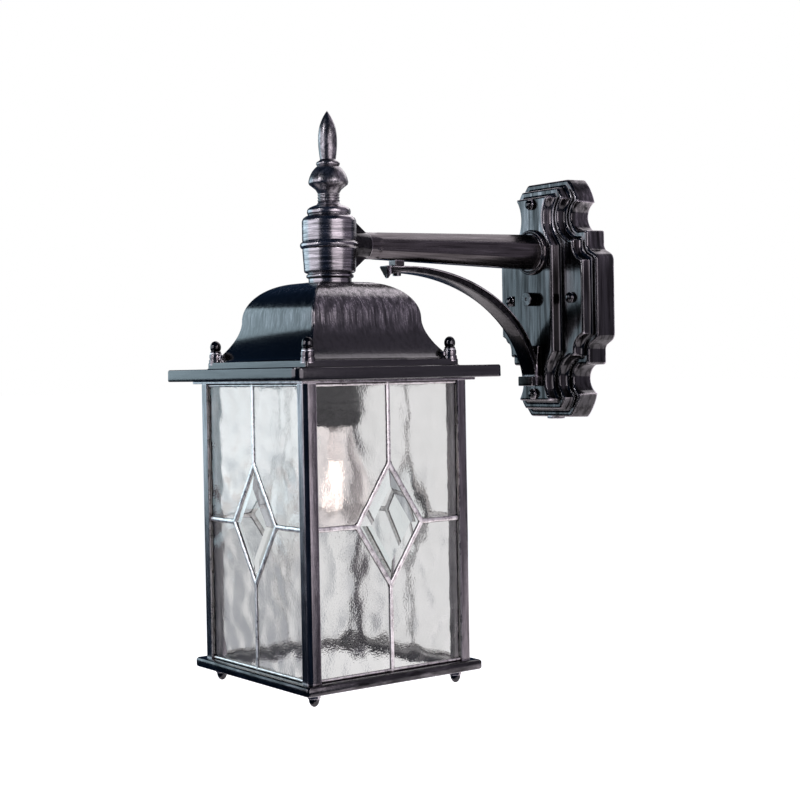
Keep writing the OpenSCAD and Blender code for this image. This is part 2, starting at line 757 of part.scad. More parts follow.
wall_strap();
strap_studs();
earth_screw();
terminal_block();
wall_plate();
plate_nuts();
centre_nut();
arm();
arm_collar();
arm_tube();
arm_nuts();
brace();
brace_screw();
hub();
finial();
stem_tube();
stem_nuts();
roof();
lead_wires();
holder_body();
holder_shell();
holder_contact();
shade_ring();
lamp_tip();
lamp_cap();
lamp_glass();
lamp_stem();
lamp_filament();
cage_top();
cage_base();
tie_rods();
base_nuts();
post(corners[0]);  // post_front_left
post(corners[1]);  // post_front_right
post(corners[2]);  // post_back_right
post(corners[3]);  // post_back_left
glass(0);  // glass_front
diamond(0);  // diamond_front
came(0);  // came_front
glass(1);  // glass_right
diamond(1);  // diamond_right
came(1);  // came_right
glass(2);  // glass_back
diamond(2);  // diamond_back
came(2);  // came_back
glass(3);  // glass_left
diamond(3);  // diamond_left
came(3);  // came_left
washer(corners[0]);  // washer_front_left
knob(corners[0]);  // knob_front_left
washer(corners[1]);  // washer_front_right
knob(corners[1]);  // knob_front_right
washer(corners[2]);  // washer_back_right
knob(corners[2]);  // knob_back_right
washer(corners[3]);  // washer_back_left
knob(corners[3]);  // knob_back_left
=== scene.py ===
"""Outdoor wall lantern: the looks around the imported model.

Metres, in the model's own frame. The helpers take millimetres.
"""

import math

import bmesh
import bpy
from mathutils import Matrix, Vector, noise


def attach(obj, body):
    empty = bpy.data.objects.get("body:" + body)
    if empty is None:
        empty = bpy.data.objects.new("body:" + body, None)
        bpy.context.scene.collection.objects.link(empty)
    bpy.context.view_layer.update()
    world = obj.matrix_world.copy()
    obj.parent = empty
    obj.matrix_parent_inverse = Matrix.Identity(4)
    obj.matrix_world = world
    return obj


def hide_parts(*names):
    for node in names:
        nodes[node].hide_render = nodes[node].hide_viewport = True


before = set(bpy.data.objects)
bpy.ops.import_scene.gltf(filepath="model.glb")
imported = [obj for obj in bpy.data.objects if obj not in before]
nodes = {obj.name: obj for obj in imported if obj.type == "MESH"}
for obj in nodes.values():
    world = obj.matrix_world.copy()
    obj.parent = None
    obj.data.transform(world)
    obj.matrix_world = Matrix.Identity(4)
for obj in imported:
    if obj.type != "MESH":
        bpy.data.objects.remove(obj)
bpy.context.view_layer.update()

MM = 0.001
REACH = 238.5  # the wall to the lantern's axis
BRIM_Z = -62.0  # underside of the roof's brim, and the zero of the lantern's own heights
ARM_Z = 38.4  # the arm's axis
ROD = 62.6  # the lantern's axis to a tie rod, along x and y
WALL_FACE = -37.5  # front of the wall plate
TIER_FACE = -28.5  # front of its middle tier
SIDES = (("front", 0), ("right", 90), ("back", 180), ("left", 270))
CORNERS = (("front_left", -1, -1), ("front_right", 1, -1), ("back_right", 1, 1), ("back_left", -1, 1))
ROOT = "bracket_and_roof"


# ---- node helpers

def new_material(name):
    mat = bpy.data.materials.new(name)
    mat.use_nodes = True
    tree = mat.node_tree
    tree.nodes.clear()
    out = tree.nodes.new("ShaderNodeOutputMaterial")
    shader = tree.nodes.new("ShaderNodeBsdfPrincipled")
    tree.links.new(shader.outputs["BSDF"], out.inputs["Surface"])
    return mat, tree, shader


def feed(tree, node, values):
    """Fills a node's sockets: links an output, and writes a number or colour in place."""
    for key, value in values.items():
        if isinstance(value, bpy.types.NodeSocket):
            tree.links.new(value, node.inputs[key])
        elif isinstance(value, (tuple, list)) and node.inputs[key].type == "RGBA":
            node.inputs[key].default_value = (*value, 1.0)
        else:
            node.inputs[key].default_value = value


def add(tree, kind, values=None, **settings):
    node = tree.nodes.new(kind)
    for key, value in settings.items():
        setattr(node, key, value)
    feed(tree, node, values or {})
    return node


def math_node(tree, op, a, b=None, clamp=False):
    values = {0: a} if b is None else {0: a, 1: b}
    return add(tree, "ShaderNodeMath", values, operation=op, use_clamp=clamp).outputs[0]


def ramp(tree, value, lo, hi, a=0.0, b=1.0):
    """Goes smoothly from a at lo to b at hi, and stays there."""
    values = {"Value": value, "From Min": lo, "From Max": hi, "To Min": a, "To Max": b}
    node = add(tree, "ShaderNodeMapRange", values, interpolation_type="SMOOTHSTEP", clamp=True)
    return node.outputs["Result"]


def noise_tex(tree, scale, detail=3.0, rough=0.55, location=(0, 0, 0), distortion=0.0):
    """Noise over the object's own coordinates. scale is per mm, along x, y and z."""
    tex = tree.nodes.new("ShaderNodeTexCoord")
    values = {"Scale": [c / MM for c in scale], "Location": location, "Vector": tex.outputs["Object"]}
    where = add(tree, "ShaderNodeMapping", values).outputs["Vector"]
    values = {"Vector": where, "Scale": 1.0, "Detail": detail, "Roughness": rough, "Distortion": distortion}
    return add(tree, "ShaderNodeTexNoise", values).outputs["Fac"]


def mix_color(tree, fac, a, b):
    return add(tree, "ShaderNodeMix", {0: fac, 6: a, 7: b}, data_type="RGBA").outputs[2]


def bump(tree, height, strength, distance, below=None):
    values = {"Strength": strength, "Distance": distance * MM, "Height": height}
    if below is not None:
        values["Normal"] = below
    return add(tree, "ShaderNodeBump", values).outputs["Normal"]


def axis_of(tree, vector, axis):
    return add(tree, "ShaderNodeSeparateXYZ", {0: vector}).outputs[axis]


# ---- materials

def streaks_of(tree, streak, soft):
    """Silver dragged along one direction: fine lines, gathered in broader clouds. soft widens both."""
    drag = noise_tex(tree, streak, 4.0, 0.65, (11, 5, 2))
    wide = noise_tex(tree, tuple(0.3 * c for c in streak), 3.0, 0.55, (1, 6, 3))
    lines = ramp(tree, drag, 0.48 - 0.12 * soft, 0.70)
    clouds = ramp(tree, wide, 0.42 - 0.12 * soft, 0.64)
    strong = math_node(tree, "ADD", math_node(tree, "MULTIPLY", lines, 0.65), 0.35)
    strong = math_node(tree, "MULTIPLY", strong, clouds)
    weak = math_node(tree, "MULTIPLY", lines, 0.25)
    return drag, math_node(tree, "ADD", strong, weak, clamp=True)


def worn_edges(tree, edge, edge_mm):
    """Silver on the convex edges, where the piece is thin as seen from inside, in patches."""
    ao = add(tree, "ShaderNodeAmbientOcclusion", {"Distance": edge_mm * MM}, samples=8, inside=True,
             only_local=True)
    convex = ramp(tree, ao.outputs["AO"], 0.84, 0.56)
    patchy = noise_tex(tree, (0.16, 0.16, 0.16), 2.0, 0.5, (9, 9, 1))
    worn = math_node(tree, "MULTIPLY", convex, ramp(tree, patchy, 0.32, 0.56, 0.35, 1.0))
    return math_node(tree, "MULTIPLY", worn, edge)


def streak_level(tree, amount, band, field):
    """The streaks' strength by height: amount inside band, a (low, high, fade) in mm, and field elsewhere."""
    if not band:
        return amount
    low, high, fade = band
    z = axis_of(tree, tree.nodes.new("ShaderNodeTexCoord").outputs["Object"], "Z")
    z = math_node(tree, "MULTIPLY", z, 1 / MM)
    bottom = ramp(tree, z, low - fade, low + fade)
    top = ramp(tree, z, high + fade, high - fade)
    mask = math_node(tree, "MULTIPLY", bottom, top)
    return math_node(tree, "ADD", math_node(tree, "MULTIPLY", mask, amount - field), field)


def enamel(name, streak, amount, edge, edge_mm, rough, gloss, band=None, field=0.0, soft=0.0, dark=0.3,
           polish=0.14, warm=(1.0, 1.0, 1.05), front=1.0, scratch=0.014):
    """Black enamel, rubbed with silver along its convex edges and dragged over the field in streaks.

    streak: noise scale per mm along x, y and z. amount, band, field and soft: see the helpers above.
    edge, edge_mm: how silver the edges are, and how far in. rough: roughness of the enamel, and polish
    what silver adds to it. gloss: reflectance of the enamel, warm its tint, and dark how deep its dull
    streaks go. front: the share of the streaks that the front and back faces get; below 1 it leaves
    those faces darker, which is painted shade. scratch: depth in mm.
    """
    mat, tree, shader = new_material(name)
    tint = (0.74, 0.70, 0.74)
    fine = noise_tex(tree, (0.9, 0.9, 0.9), 3.0, 0.6, (3, 1, 7))
    drag, streaks = streaks_of(tree, streak, soft)
    level = streak_level(tree, amount, band, field)
    # below 1, the faces that look along y lose silver: painted shade on those sides
    if front < 1.0:
        facing = axis_of(tree, tree.nodes.new("ShaderNodeNewGeometry").outputs["True Normal"], "Y")
        share = ramp(tree, math_node(tree, "ABSOLUTE", facing), 0.55, 0.75, 1.0, front)
        level = math_node(tree, "MULTIPLY", level, share)
    worn = worn_edges(tree, edge, edge_mm)
    silver = math_node(tree, "ADD", worn, math_node(tree, "MULTIPLY", streaks, level), clamp=True)
    # the enamel itself is a weak mirror, dulled in the same direction as the streaks
    along = noise_tex(tree, tuple(0.5 * c for c in streak), 3.0, 0.6, (8, 3, 5))
    clean = ramp(tree, along, 0.36, 0.56, dark, 1.0)
    black = mix_color(tree, clean, (0.0, 0.0, 0.0), tuple(gloss * c for c in warm))
    shine = mix_color(tree, ramp(tree, fine, 0.3, 0.7), tuple(0.8 * c for c in tint), tint)
    base_rough = ramp(tree, fine, 0.3, 0.7, rough - 0.02, rough + 0.04)
    rougher = math_node(tree, "MULTIPLY", silver, polish)
    cast = bump(tree, noise_tex(tree, (0.22, 0.22, 0.22), 3.0, 0.5, (2, 9, 4)), 1.0, 0.035)
    feed(tree, shader, {"Base Color": mix_color(tree, silver, black, shine), "Metallic": 1.0,
                        "Roughness": math_node(tree, "ADD", base_rough, rougher),
                        "Normal": bump(tree, drag, 1.0, scratch, cast)})
    return mat


def metal(name, light, dark, rough, grain):
    mat, tree, shader = new_material(name)
    fine = noise_tex(tree, grain, 4.0, 0.6)
    broad = noise_tex(tree, (0.08, 0.08, 0.08), 2.0, 0.5, (5, 5, 5))
    col = mix_color(tree, ramp(tree, fine, 0.35, 0.65), dark, light)
    col = mix_color(tree, ramp(tree, broad, 0.4, 0.7, 0.0, 0.45), col, dark)
    feed(tree, shader, {"Base Color": col, "Metallic": 1.0, "Normal": bump(tree, fine, 0.4, 0.04),
                        "Roughness": ramp(tree, fine, 0.3, 0.7, rough - 0.06, rough + 0.1)})
    return mat


def lead_material():
    """Soldered came: bright dull silver with dark pits, and painted shade that darkens it in the hollows next
    to the glass.
    """
    mat, tree, shader = new_material("came_lead")
    fine = noise_tex(tree, (1.3, 1.3, 1.3), 4.0, 0.65)
    blotch = noise_tex(tree, (0.25, 0.25, 0.25), 3.0, 0.6, (4, 2, 8))
    col = mix_color(tree, ramp(tree, blotch, 0.35, 0.65), (0.62, 0.60, 0.59), (0.95, 0.93, 0.92))
    col = mix_color(tree, ramp(tree, fine, 0.40, 0.26), col, (0.12, 0.10, 0.10))
    # painted shade: darker where the came is hemmed in, next to the glass
    ao = add(tree, "ShaderNodeAmbientOcclusion", {"Distance": 1.6 * MM}, samples=8)
    col = mix_color(tree, ramp(tree, ao.outputs["AO"], 0.86, 0.55), col, (0.07, 0.055, 0.055))
    relief = bump(tree, fine, 1.0, 0.05, bump(tree, blotch, 1.0, 0.12))
    feed(tree, shader, {"Base Color": col, "Metallic": 0.85, "Normal": relief,
                        "Roughness": ramp(tree, blotch, 0.3, 0.7, 0.26, 0.40)})
    return mat


def plastic(name, color, rough, grain=1.2):
    mat, tree, shader = new_material(name)
    fine = noise_tex(tree, (grain,) * 3)
    paler = tuple(min(1.0, 1.35 * c + 0.002) for c in color)
    feed(tree, shader, {"Base Color": mix_color(tree, ramp(tree, fine, 0.3, 0.7), color, paler),
                        "Roughness": ramp(tree, fine, 0.3, 0.7, rough - 0.05, rough + 0.08),
                        "Normal": bump(tree, fine, 0.3, 0.03)})
    return mat


def clear(name, patch, span, tints, rough, depth, grain=None, ior=1.5):
    """Clear glass. Its tint and roughness drift slowly, and grain, or else the drift, gives its relief."""
    mat, tree, shader = new_material(name)
    drift = noise_tex(tree, *patch)
    relief = noise_tex(tree, *grain) if grain else drift
    feed(tree, shader, {"Base Color": mix_color(tree, ramp(tree, drift, *span), *tints), "IOR": ior,
                        "Transmission Weight": 1.0, "Roughness": ramp(tree, drift, 0.3, 0.7, *rough),
                        "Normal": bump(tree, relief, 1.0, depth)})
    return mat, tree, shader, drift


def water_glass():
    """Clear sheet with a rippled face. The broad ripple is in the mesh, and this adds its finest grain."""
    return clear("water_glass", ((0.05,) * 3, 2.0, 0.5, (7, 2, 2)), (0.35, 0.65),
                 ((0.955, 0.958, 0.955), (0.985, 0.985, 0.985)), (0.0, 0.02), 0.06,
                 grain=((0.75,) * 3, 1.0, 0.5, (1, 8, 3), 0.4))[0]


def bevel_glass():
    return clear("bevelled_glass", ((0.09,) * 3, 2.0), (0.3, 0.7),
                 ((0.92, 0.955, 0.955), (0.95, 0.97, 0.97)), (0.0, 0.012), 0.012)[0]


def lamp_material():
    """Clear envelope with a thin pinkish bloom inside."""
    mat, tree, shader, drift = clear("lamp_clear", ((0.2,) * 3, 2.0), (0.3, 0.7),
                                     ((0.94, 0.91, 0.91), (0.97, 0.94, 0.93)), (0.02, 0.07), 0.01, ior=1.45)
    feed(tree, shader, {"Emission Color": (1.0, 0.90, 0.88),
                        "Emission Strength": ramp(tree, drift, 0.3, 0.7, 0.02, 0.05)})
    return mat


def glow_material():
    mat, tree, shader = new_material("filament_glow")
    fine = noise_tex(tree, (1.0, 1.0, 1.0), 2.0)
    feed(tree, shader, {"Base Color": mix_color(tree, fine, (1.0, 0.90, 0.8), (1.0, 0.97, 0.92)),
                        "Emission Color": (1.0, 0.90, 0.84),
                        "Emission Strength": ramp(tree, fine, 0.3, 0.7, 1.0, 1.5)})
    return mat


ENAMELS = {
    # the dome's front=0.28 is painted shade: its front and back faces get less silver than its sides
    "dome": dict(streak=(0.9, 0.9, 0.035), amount=0.58, edge=1.0, edge_mm=2.6, rough=0.15, gloss=0.078,
                 band=(-24, 10, 9), soft=0.5, dark=0.75, polish=0.34, front=0.28),
    "brim": dict(streak=(0.05, 0.05, 0.9), amount=0.02, edge=0.8, edge_mm=1.2, rough=0.14, gloss=0.076,
                 dark=0.85),
    "hub": dict(streak=(0.07, 0.07, 1.6), amount=0.62, edge=0.5, edge_mm=1.2, rough=0.19, gloss=0.075,
                soft=1.3, dark=0.6, polish=0.11),
    "finial": dict(streak=(0.7, 0.7, 0.4), amount=0.50, edge=0.4, edge_mm=1.2, rough=0.24, gloss=0.10,
                   soft=1.2, dark=0.7, polish=0.20),
    "plate": dict(streak=(0.5, 0.5, 0.028), amount=0.40, edge=1.0, edge_mm=2.6, rough=0.13, gloss=0.054,
                  band=(30, 90, 14), field=0.07, soft=0.2, dark=0.25, polish=0.34, scratch=0.004),
    "arm": dict(streak=(1.0, 0.035, 1.0), amount=0.12, edge=0.35, edge_mm=1.2, rough=0.19, gloss=0.086,
                soft=0.2, dark=0.55, warm=(1.0, 0.92, 0.95)),
    # painted shade: a near-black, brownish copy of the enamel for faces that look along -y
    "painted_shade": dict(streak=(0.6, 0.6, 0.6), amount=0.02, edge=0.5, edge_mm=1.2, rough=0.2, gloss=0.003,
                dark=0.6, warm=(1.0, 0.85, 0.9)),
    "brace": dict(streak=(0.8, 0.8, 0.8), amount=0.06, edge=0.8, edge_mm=1.3, rough=0.16, gloss=0.024,
                  dark=0.5),
    "cage": dict(streak=(0.6, 0.6, 0.05), amount=0.26, edge=0.7, edge_mm=1.3, rough=0.16, gloss=0.085,
                 soft=1.5, dark=0.7, polish=0.2, warm=(1.0, 0.93, 1.0)),
    "base": dict(streak=(0.12, 0.12, 0.5), amount=0.16, edge=0.9, edge_mm=1.4, rough=0.15, gloss=0.05,
                 soft=0.3),
    "nut": dict(streak=(0.6, 0.6, 0.6), amount=0.12, edge=0.5, edge_mm=0.8, rough=0.10, gloss=0.05,
                dark=0.5),
}
M = {key: enamel("enamel_" + key, **look) for key, look in ENAMELS.items()}
M.update({
    "came": lead_material(),
    "steel": metal("zinc_steel", (0.70, 0.70, 0.72), (0.45, 0.45, 0.47), 0.32, (0.6, 0.6, 0.6)),
    "brass": metal("plain_brass", (0.78, 0.60, 0.28), (0.52, 0.38, 0.16), 0.3, (0.7, 0.7, 0.7)),
    "cap": metal("lamp_cap_metal", (0.74, 0.73, 0.70), (0.50, 0.49, 0.47), 0.25, (0.5, 0.5, 2.0)),
    "bakelite": plastic("black_bakelite", (0.012, 0.012, 0.013), 0.28),
    "wire": plastic("wire_sleeve", (0.10, 0.10, 0.105), 0.5, 3.0),
    "glass": water_glass(),
    "bevel": bevel_glass(),
    "lamp": lamp_material(),
    "glow": glow_material(),
})
# the CAD nodes that stay as they are, by material
PAINT = {
    "nut": ["brace_screw"],
    "steel": ["wall_strap", "strap_studs", "tie_rods"] + ["washer_" + c[0] for c in CORNERS],
    "brass": ["earth_screw", "arm_tube", "arm_nuts", "stem_tube", "stem_nuts", "holder_shell",
              "holder_contact", "lamp_tip"],
    "bakelite": ["terminal_block"],
    "wire": ["lead_wires"],
    "glow": ["lamp_filament"],
    "lamp": ["lamp_stem"],
}
for key, names in PAINT.items():
    for n in names:
        nodes[n].data.materials.clear()
        nodes[n].data.materials.append(M[key])


# ---- mesh helpers

def L(x, y, z):
    """Lantern-local millimetres to the model's frame."""
    return Vector((x * MM, (y - REACH) * MM, (z + BRIM_Z) * MM))


def W(x, y, z):
    """Wall-frame millimetres to the model's frame."""
    return Vector((x * MM, y * MM, z * MM))


def arc(cx, cy, rx, ry, a, b, n):
    """n + 1 points of an ellipse's arc from angle a to b, in degrees."""
    out = []
    for i in range(n + 1):
        t = math.radians(a + (b - a) * i / n)
        out.append((cx + rx * math.cos(t), cy + ry * math.sin(t)))
    return out


def lerp(a, b, t):
    return a + (b - a) * t


def loft(bm, rings, cap_start=False, cap_end=False, closed=False):
    """Joins rings of equal length. closed also joins the last ring to the first."""
    made = [[bm.verts.new(p) for p in ring] for ring in rings]
    pairs = list(zip(made, made[1:]))
    if closed:
        pairs.append((made[-1], made[0]))
    for a, b in pairs:
        n = len(a)
        for i in range(n):
            quad = (a[i], a[(i + 1) % n], b[(i + 1) % n], b[i])
            bm.faces.new(quad)
    if cap_start:
        bm.faces.new(made[0])
    if cap_end:
        bm.faces.new(list(reversed(made[-1])))
    return made


def smooth(me, sharp=32.0):
    for p in me.polygons:
        p.use_smooth = True
    me.set_sharp_from_angle(angle=math.radians(sharp))


def finish(bm, name, mat, body, replaces=(), sharp=32.0):
    """Makes the object, gives it its material and body, and hides the CAD nodes that it replaces."""
    bmesh.ops.remove_doubles(bm, verts=bm.verts, dist=1e-6)
    bmesh.ops.dissolve_degenerate(bm, edges=bm.edges, dist=1e-7)
    bmesh.ops.recalc_face_normals(bm, faces=bm.faces)
    me = bpy.data.meshes.new(name)
    bm.to_mesh(me)
    bm.free()
    ob = bpy.data.objects.new(name, me)
    bpy.context.scene.collection.objects.link(ob)
    me.materials.append(M[mat])
    smooth(me, sharp)
    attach(ob, body)
    if replaces:
        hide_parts(*replaces)
    return ob


def revolve(bm, profile, place, n=96):
    """Turns a closed or axis-to-axis profile of (r, h) about its axis. place maps (x, y, h) to the frame."""
    turns = [2 * math.pi * i / n for i in range(n)]
    rings = [[place(r * math.cos(t), r * math.sin(t), h) for t in turns] for r, h in profile]
    start_axis = profile[0][0] < 1e-6
    end_axis = profile[-1][0] < 1e-6
    if start_axis:
        rings = rings[1:]
    if end_axis:
        rings = rings[:-1]
    made = loft(bm, rings, closed=not (start_axis or end_axis))
    if start_axis:
        tip = bm.verts.new(place(0, 0, profile[0][1]))
        for i in range(n):
            bm.faces.new((tip, made[0][(i + 1) % n], made[0][i]))
    if end_axis:
        tip = bm.verts.new(place(0, 0, profile[-1][1]))
        for i in range(n):
            bm.faces.new((tip, made[-1][i], made[-1][(i + 1) % n]))
    return made


def rounded(points, radius, n=4):
    """Rounds the corners of an open profile of (r, h) points."""
    out = [points[0]]
    for i in range(1, len(points) - 1):
        p0, p, p1 = (Vector(points[i - 1]), Vector(points[i]), Vector(points[i + 1]))
        a, b = p0 - p, p1 - p
        r = min(radius, 0.45 * a.length, 0.45 * b.length)
        if r < 1e-6 or a.angle(b) > math.radians(172):
            out.append(tuple(p))
            continue
        s, e = p + a.normalized() * r, p + b.normalized() * r
        for k in range(n + 1):
            t = k / n
            q = (1 - t) ** 2 * s + 2 * t * (1 - t) * p + t * t * e
            out.append(tuple(q))
    out.append(points[-1])
    return out


def square_ring(half, z, rc=1.2, corner=5, place=L):
    """Points round a square with rounded corners at height z."""
    pts = []
    for k in range(4):
        sx, sy = ((1, -1), (1, 1), (-1, 1), (-1, -1))[k]
        cx, cy = sx * (half - rc), sy * (half - rc)
        for x, y in arc(cx, cy, rc, rc, -90 + 90 * k, 90 * k, corner):
            pts.append(place(x, y, z))
    return pts


def prism(bm, outline, place, lo, hi, bevel=0.6, segments=3):
    """A slab of a flat outline (u, v) from depth lo to hi, with its edges rounded."""
    part = bmesh.new()
    a = [part.verts.new(Vector((u, v, lo))) for u, v in outline]
    b = [part.verts.new(Vector((u, v, hi))) for u, v in outline]
    n = len(a)
    part.faces.new(a)
    part.faces.new(list(reversed(b)))
    for i in range(n):
        part.faces.new((a[i], b[i], b[(i + 1) % n], a[(i + 1) % n]))
    bmesh.ops.recalc_face_normals(part, faces=part.faces)
    if bevel:
        sharp = [e for e in part.edges if e.calc_face_angle(0) > math.radians(28)]
        bmesh.ops.bevel(part, geom=sharp, offset=bevel, segments=segments, profile=0.5, affect="EDGES",
                        clamp_overlap=True)
    copy_into(part, bm, place)
    part.free()


def copy_into(src, dst, place):
    """Adds one bmesh to another through place, and leaves out faces that are there already."""
    made = {v: dst.verts.new(place(*v.co)) for v in src.verts}
    for f in src.faces:
        try:
            dst.faces.new([made[v] for v in f.verts])
        except ValueError:
            pass


def recolour(ob, name, chosen):
    """Gives the chosen faces of a finished piece a second material."""
    ob.data.materials.append(M[name])
    for face in ob.data.polygons:
        if chosen(face):
            face.material_index = 1


# ---- wall plate

# the upper right quarter of the outline: a crown arc, a bite, a ledge, a shoulder and a round to the waist
CORNER_C, CORNER_R = (-3.5, 68.0), 40.7
BITE_C, BITE_R = (40.6, 66.0), 12.6
LEDGE = 54.5
SHOULDER_C, SHOULDER_R = (52.3, 43.0), 6.0
WAIST_R, WAIST_Z = 7.2, 29.5
PLATE_H, PLATE_HALF = 97.5, 57.0
PANEL_HALF = 23.5


def meet(c0, r0, c1, r1):
    """Where two circles meet, seen from c0: the angle to c1, and the angle from there to the point."""
    dx, dy = c1[0] - c0[0], c1[1] - c0[1]
    s = math.hypot(dx, dy)
    along = (r0 * r0 - r1 * r1 + s * s) / (2 * s)
    return math.degrees(math.atan2(dy, dx)), math.degrees(math.acos(max(-1, min(1, along / r0))))


def plate_quarter(d, panel):
    """Upper right quarter of a plate outline, inset by d: always the same number of points."""
    top = PLATE_H - d
    rc, rb = CORNER_R - d, BITE_R + d
    start = math.degrees(math.asin(max(-1, min(1, (top - CORNER_C[1]) / rc))))
    a, h = meet(CORNER_C, rc, BITE_C, rb)
    vertex = a + h
    if start > vertex:
        crown = arc(*CORNER_C, rc, rc, start, vertex, 10)
        a, h = meet(BITE_C, rb, CORNER_C, rc)
        first = (a % 360) - h
    else:
        first = 180 - math.degrees(math.asin((top - BITE_C[1]) / rb))
        crown = [(BITE_C[0] + rb * math.cos(math.radians(first)), top)] * 11
    pts = [(crown[0][0] * k / 4, top) for k in range(4)] + crown
    if panel:
        pts += arc(*BITE_C, rb, rb, first, 210, 16)
        last = pts[-1]
        half = PANEL_HALF + 14 - d
        end = (half, 43.3)
        pts += [(lerp(last[0], end[0], k / 4), lerp(last[1], end[1], k / 4)) for k in (1, 2, 3)] + [end]
        pts += [(half, 43.3 * (1 - k / 20)) for k in range(1, 21)]
        return pts
    last = 180 + math.degrees(math.asin(min(1, (BITE_C[1] - LEDGE + d) / rb)))
    pts += arc(*BITE_C, rb, rb, first, last, 16)
    pts += [(SHOULDER_C[0] - SHOULDER_R - d, LEDGE - d)]
    pts += arc(*SHOULDER_C, SHOULDER_R + d, SHOULDER_R + d, 180, 232, 11)
    r = WAIST_R - d
    if r > 1:
        pts += arc(PLATE_HALF - WAIST_R, WAIST_Z, r, r, 52, 0, 9)
    else:
        pts += [(PLATE_HALF - d, WAIST_Z - max(0, d - WAIST_R) / 2)] * 10
    pts += [(PLATE_HALF - d, 0.0)]
    return pts


def plate_loop(d, panel):
    """The whole outline, inset by d. panel picks the outline of the front tier."""
    q = plate_quarter(d, panel)
    right = q + [(x, -z) for x, z in reversed(q[:-1])]
    return [Vector(p) for p in right + [(-x, z) for x, z in reversed(right[1:-1])]]


def corners_of(loop):
    """Where a closed outline turns by more than 24 degrees."""
    out = set()
    for i, p in enumerate(loop):
        a, b = p - loop[i - 1], loop[(i + 1) % len(loop)] - p
        if a.length > 1e-4 and b.length > 1e-4 and a.angle(b) > math.radians(24):
            out.add(i)
    return out


SOFT = corners_of(plate_loop(0.0, False)) | corners_of(plate_loop(14.0, True))


def plate_ring(d, y, panel=False):
    """The outline at depth y, with a small curve in place of each sharp corner."""
    loop, out = plate_loop(d, panel), []
    for i, p in enumerate(loop):
        if i not in SOFT:
            out.append(p)
            continue
        ends = []
        for q in (loop[i - 1], loop[(i + 1) % len(loop)]):
            way = q - p
            ends.append(p + way * min(0.48, 2.4 / max(way.length, 1e-4)))
        for t in (0.0, 0.2, 0.4, 0.6, 0.8, 1.0):
            out.append(ends[0] * (1 - t) ** 2 + p * 2 * t * (1 - t) + ends[1] * t ** 2)
    return [W(p.x, y, p.y) for p in out]


def fillet(d0, y0, d1, y1, panel, n=5, convex=True):
    """Rings round a quarter turn from (d0, y0) to (d1, y1)."""
    out = []
    for k in range(n + 1):
        t = math.radians(90 * k / n)
        if convex:
            out.append(plate_ring(lerp(d0, d1, 1 - math.cos(t)), lerp(y0, y1, math.sin(t)), panel))
        else:
            out.append(plate_ring(lerp(d0, d1, math.sin(t)), lerp(y0, y1, 1 - math.cos(t)), panel))
    return out


def unite(ob, bm):
    """Adds the body in bm to a finished object, with no faces left inside."""
    me = bpy.data.meshes.new("cutter")
    bmesh.ops.recalc_face_normals(bm, faces=bm.faces)
    bm.to_mesh(me)
    bm.free()
    cutter = bpy.data.objects.new("cutter", me)
    bpy.context.scene.collection.objects.link(cutter)
    mod = ob.modifiers.new("cut", "BOOLEAN")
    mod.operation = "UNION"
    mod.object = cutter
    mod.solver = "EXACT"
    done = bpy.data.meshes.new_from_object(ob.evaluated_get(bpy.context.evaluated_depsgraph_get()))
    ob.modifiers.clear()
    old = ob.data
    ob.data = done
    bpy.data.meshes.remove(old)
    bpy.data.objects.remove(cutter)
    bpy.data.meshes.remove(me)
    smooth(done)


bm = bmesh.new()
# outside, from the wall to the front: each tier ends in a rounded edge, and the next starts in a hollow one
rings = [plate_ring(0.0, -0.4), plate_ring(0.25, -8.0)]
rings += fillet(0.5, -17.4, 2.6, -19.5, False)
rings += [plate_ring(3.4, -19.5)]
rings += fillet(4.4, -19.5, 7.0, -22.1, False, convex=False)
rings += fillet(7.3, TIER_FACE + 1.9, 9.2, TIER_FACE, False)
rings += [plate_ring(10.0, TIER_FACE), plate_ring(11.2, TIER_FACE, True)]
rings += fillet(11.2, TIER_FACE, 14.0, TIER_FACE - 2.8, True, convex=False)
rings += fillet(14.3, WALL_FACE + 1.9, 16.2, WALL_FACE, True)
rings += [plate_ring(17.5, WALL_FACE, True)]
# inside, from the front back to the wall
inner = [plate_ring(18.0, -34.6, True), plate_ring(17.6, -25.5, True)]
inner += [plate_ring(d, y) for d, y in ((10.5, -25.5), (10.3, -16.5), (3.2, -16.5))]
inner += [plate_ring(d, y) for d, y in ((2.9, -0.4), (2.4, 0.0), (0.5, 0.0))]
made = loft(bm, rings, cap_end=True)
made_in = loft(bm, inner, cap_start=True)
n = len(made[0])
for i in range(n):
    bm.faces.new((made_in[-1][i], made_in[-1][(i + 1) % n], made[0][(i + 1) % n], made[0][i]))
finish(bm, "wall_plate_cast", "plate", ROOT, ["wall_plate"])
# drip boss under the plate
bm = bmesh.new()
revolve(bm, rounded([(0, -2.0), (6.0, -2.0), (6.0, 1.0), (0, 1.0)], 0.8)[::-1],
        lambda x, y, h: W(x * 1.4, y - 13.5, h - 96.6), 48)
finish(bm, "drip_boss", "plate", ROOT)


def as_is(x, y, z):
    return Vector((x, y, z))


def domed_nut(bm, place, d, hex_h, h, n=48):
    """Hexagon foot with a domed cap, standing on h = 0."""
    r = d / 2
    part = bmesh.new()
    corner = r / math.cos(math.pi / 6)
    hexagon = arc(0, 0, corner, corner, 0, 300, 5)
    prism(part, hexagon, as_is, 0, hex_h, 0.35)
    dome = [(0, hex_h * 0.5), (r * 0.96, hex_h * 0.5), (r * 0.96, hex_h)]
    dome += arc(0, hex_h, r * 0.96, h - hex_h, 8, 88, 10) + [(0, h)]
    revolve(part, dome, as_is, n)
    copy_into(part, bm, place)
    part.free()


def out_of_wall(x0, y0, z0):
    """A place function whose axis stands out from the wall at the given point."""
    return lambda x, y, h: W(x0 + x, y0 - h, z0 + y)


def at_rod(sx, sy, base=0.0, way=1):
    """A place function round one tie rod, upwards or (way = -1) downwards from base."""
    return lambda x, y, h: L(sx * ROD + x, sy * ROD + y, base + way * h)


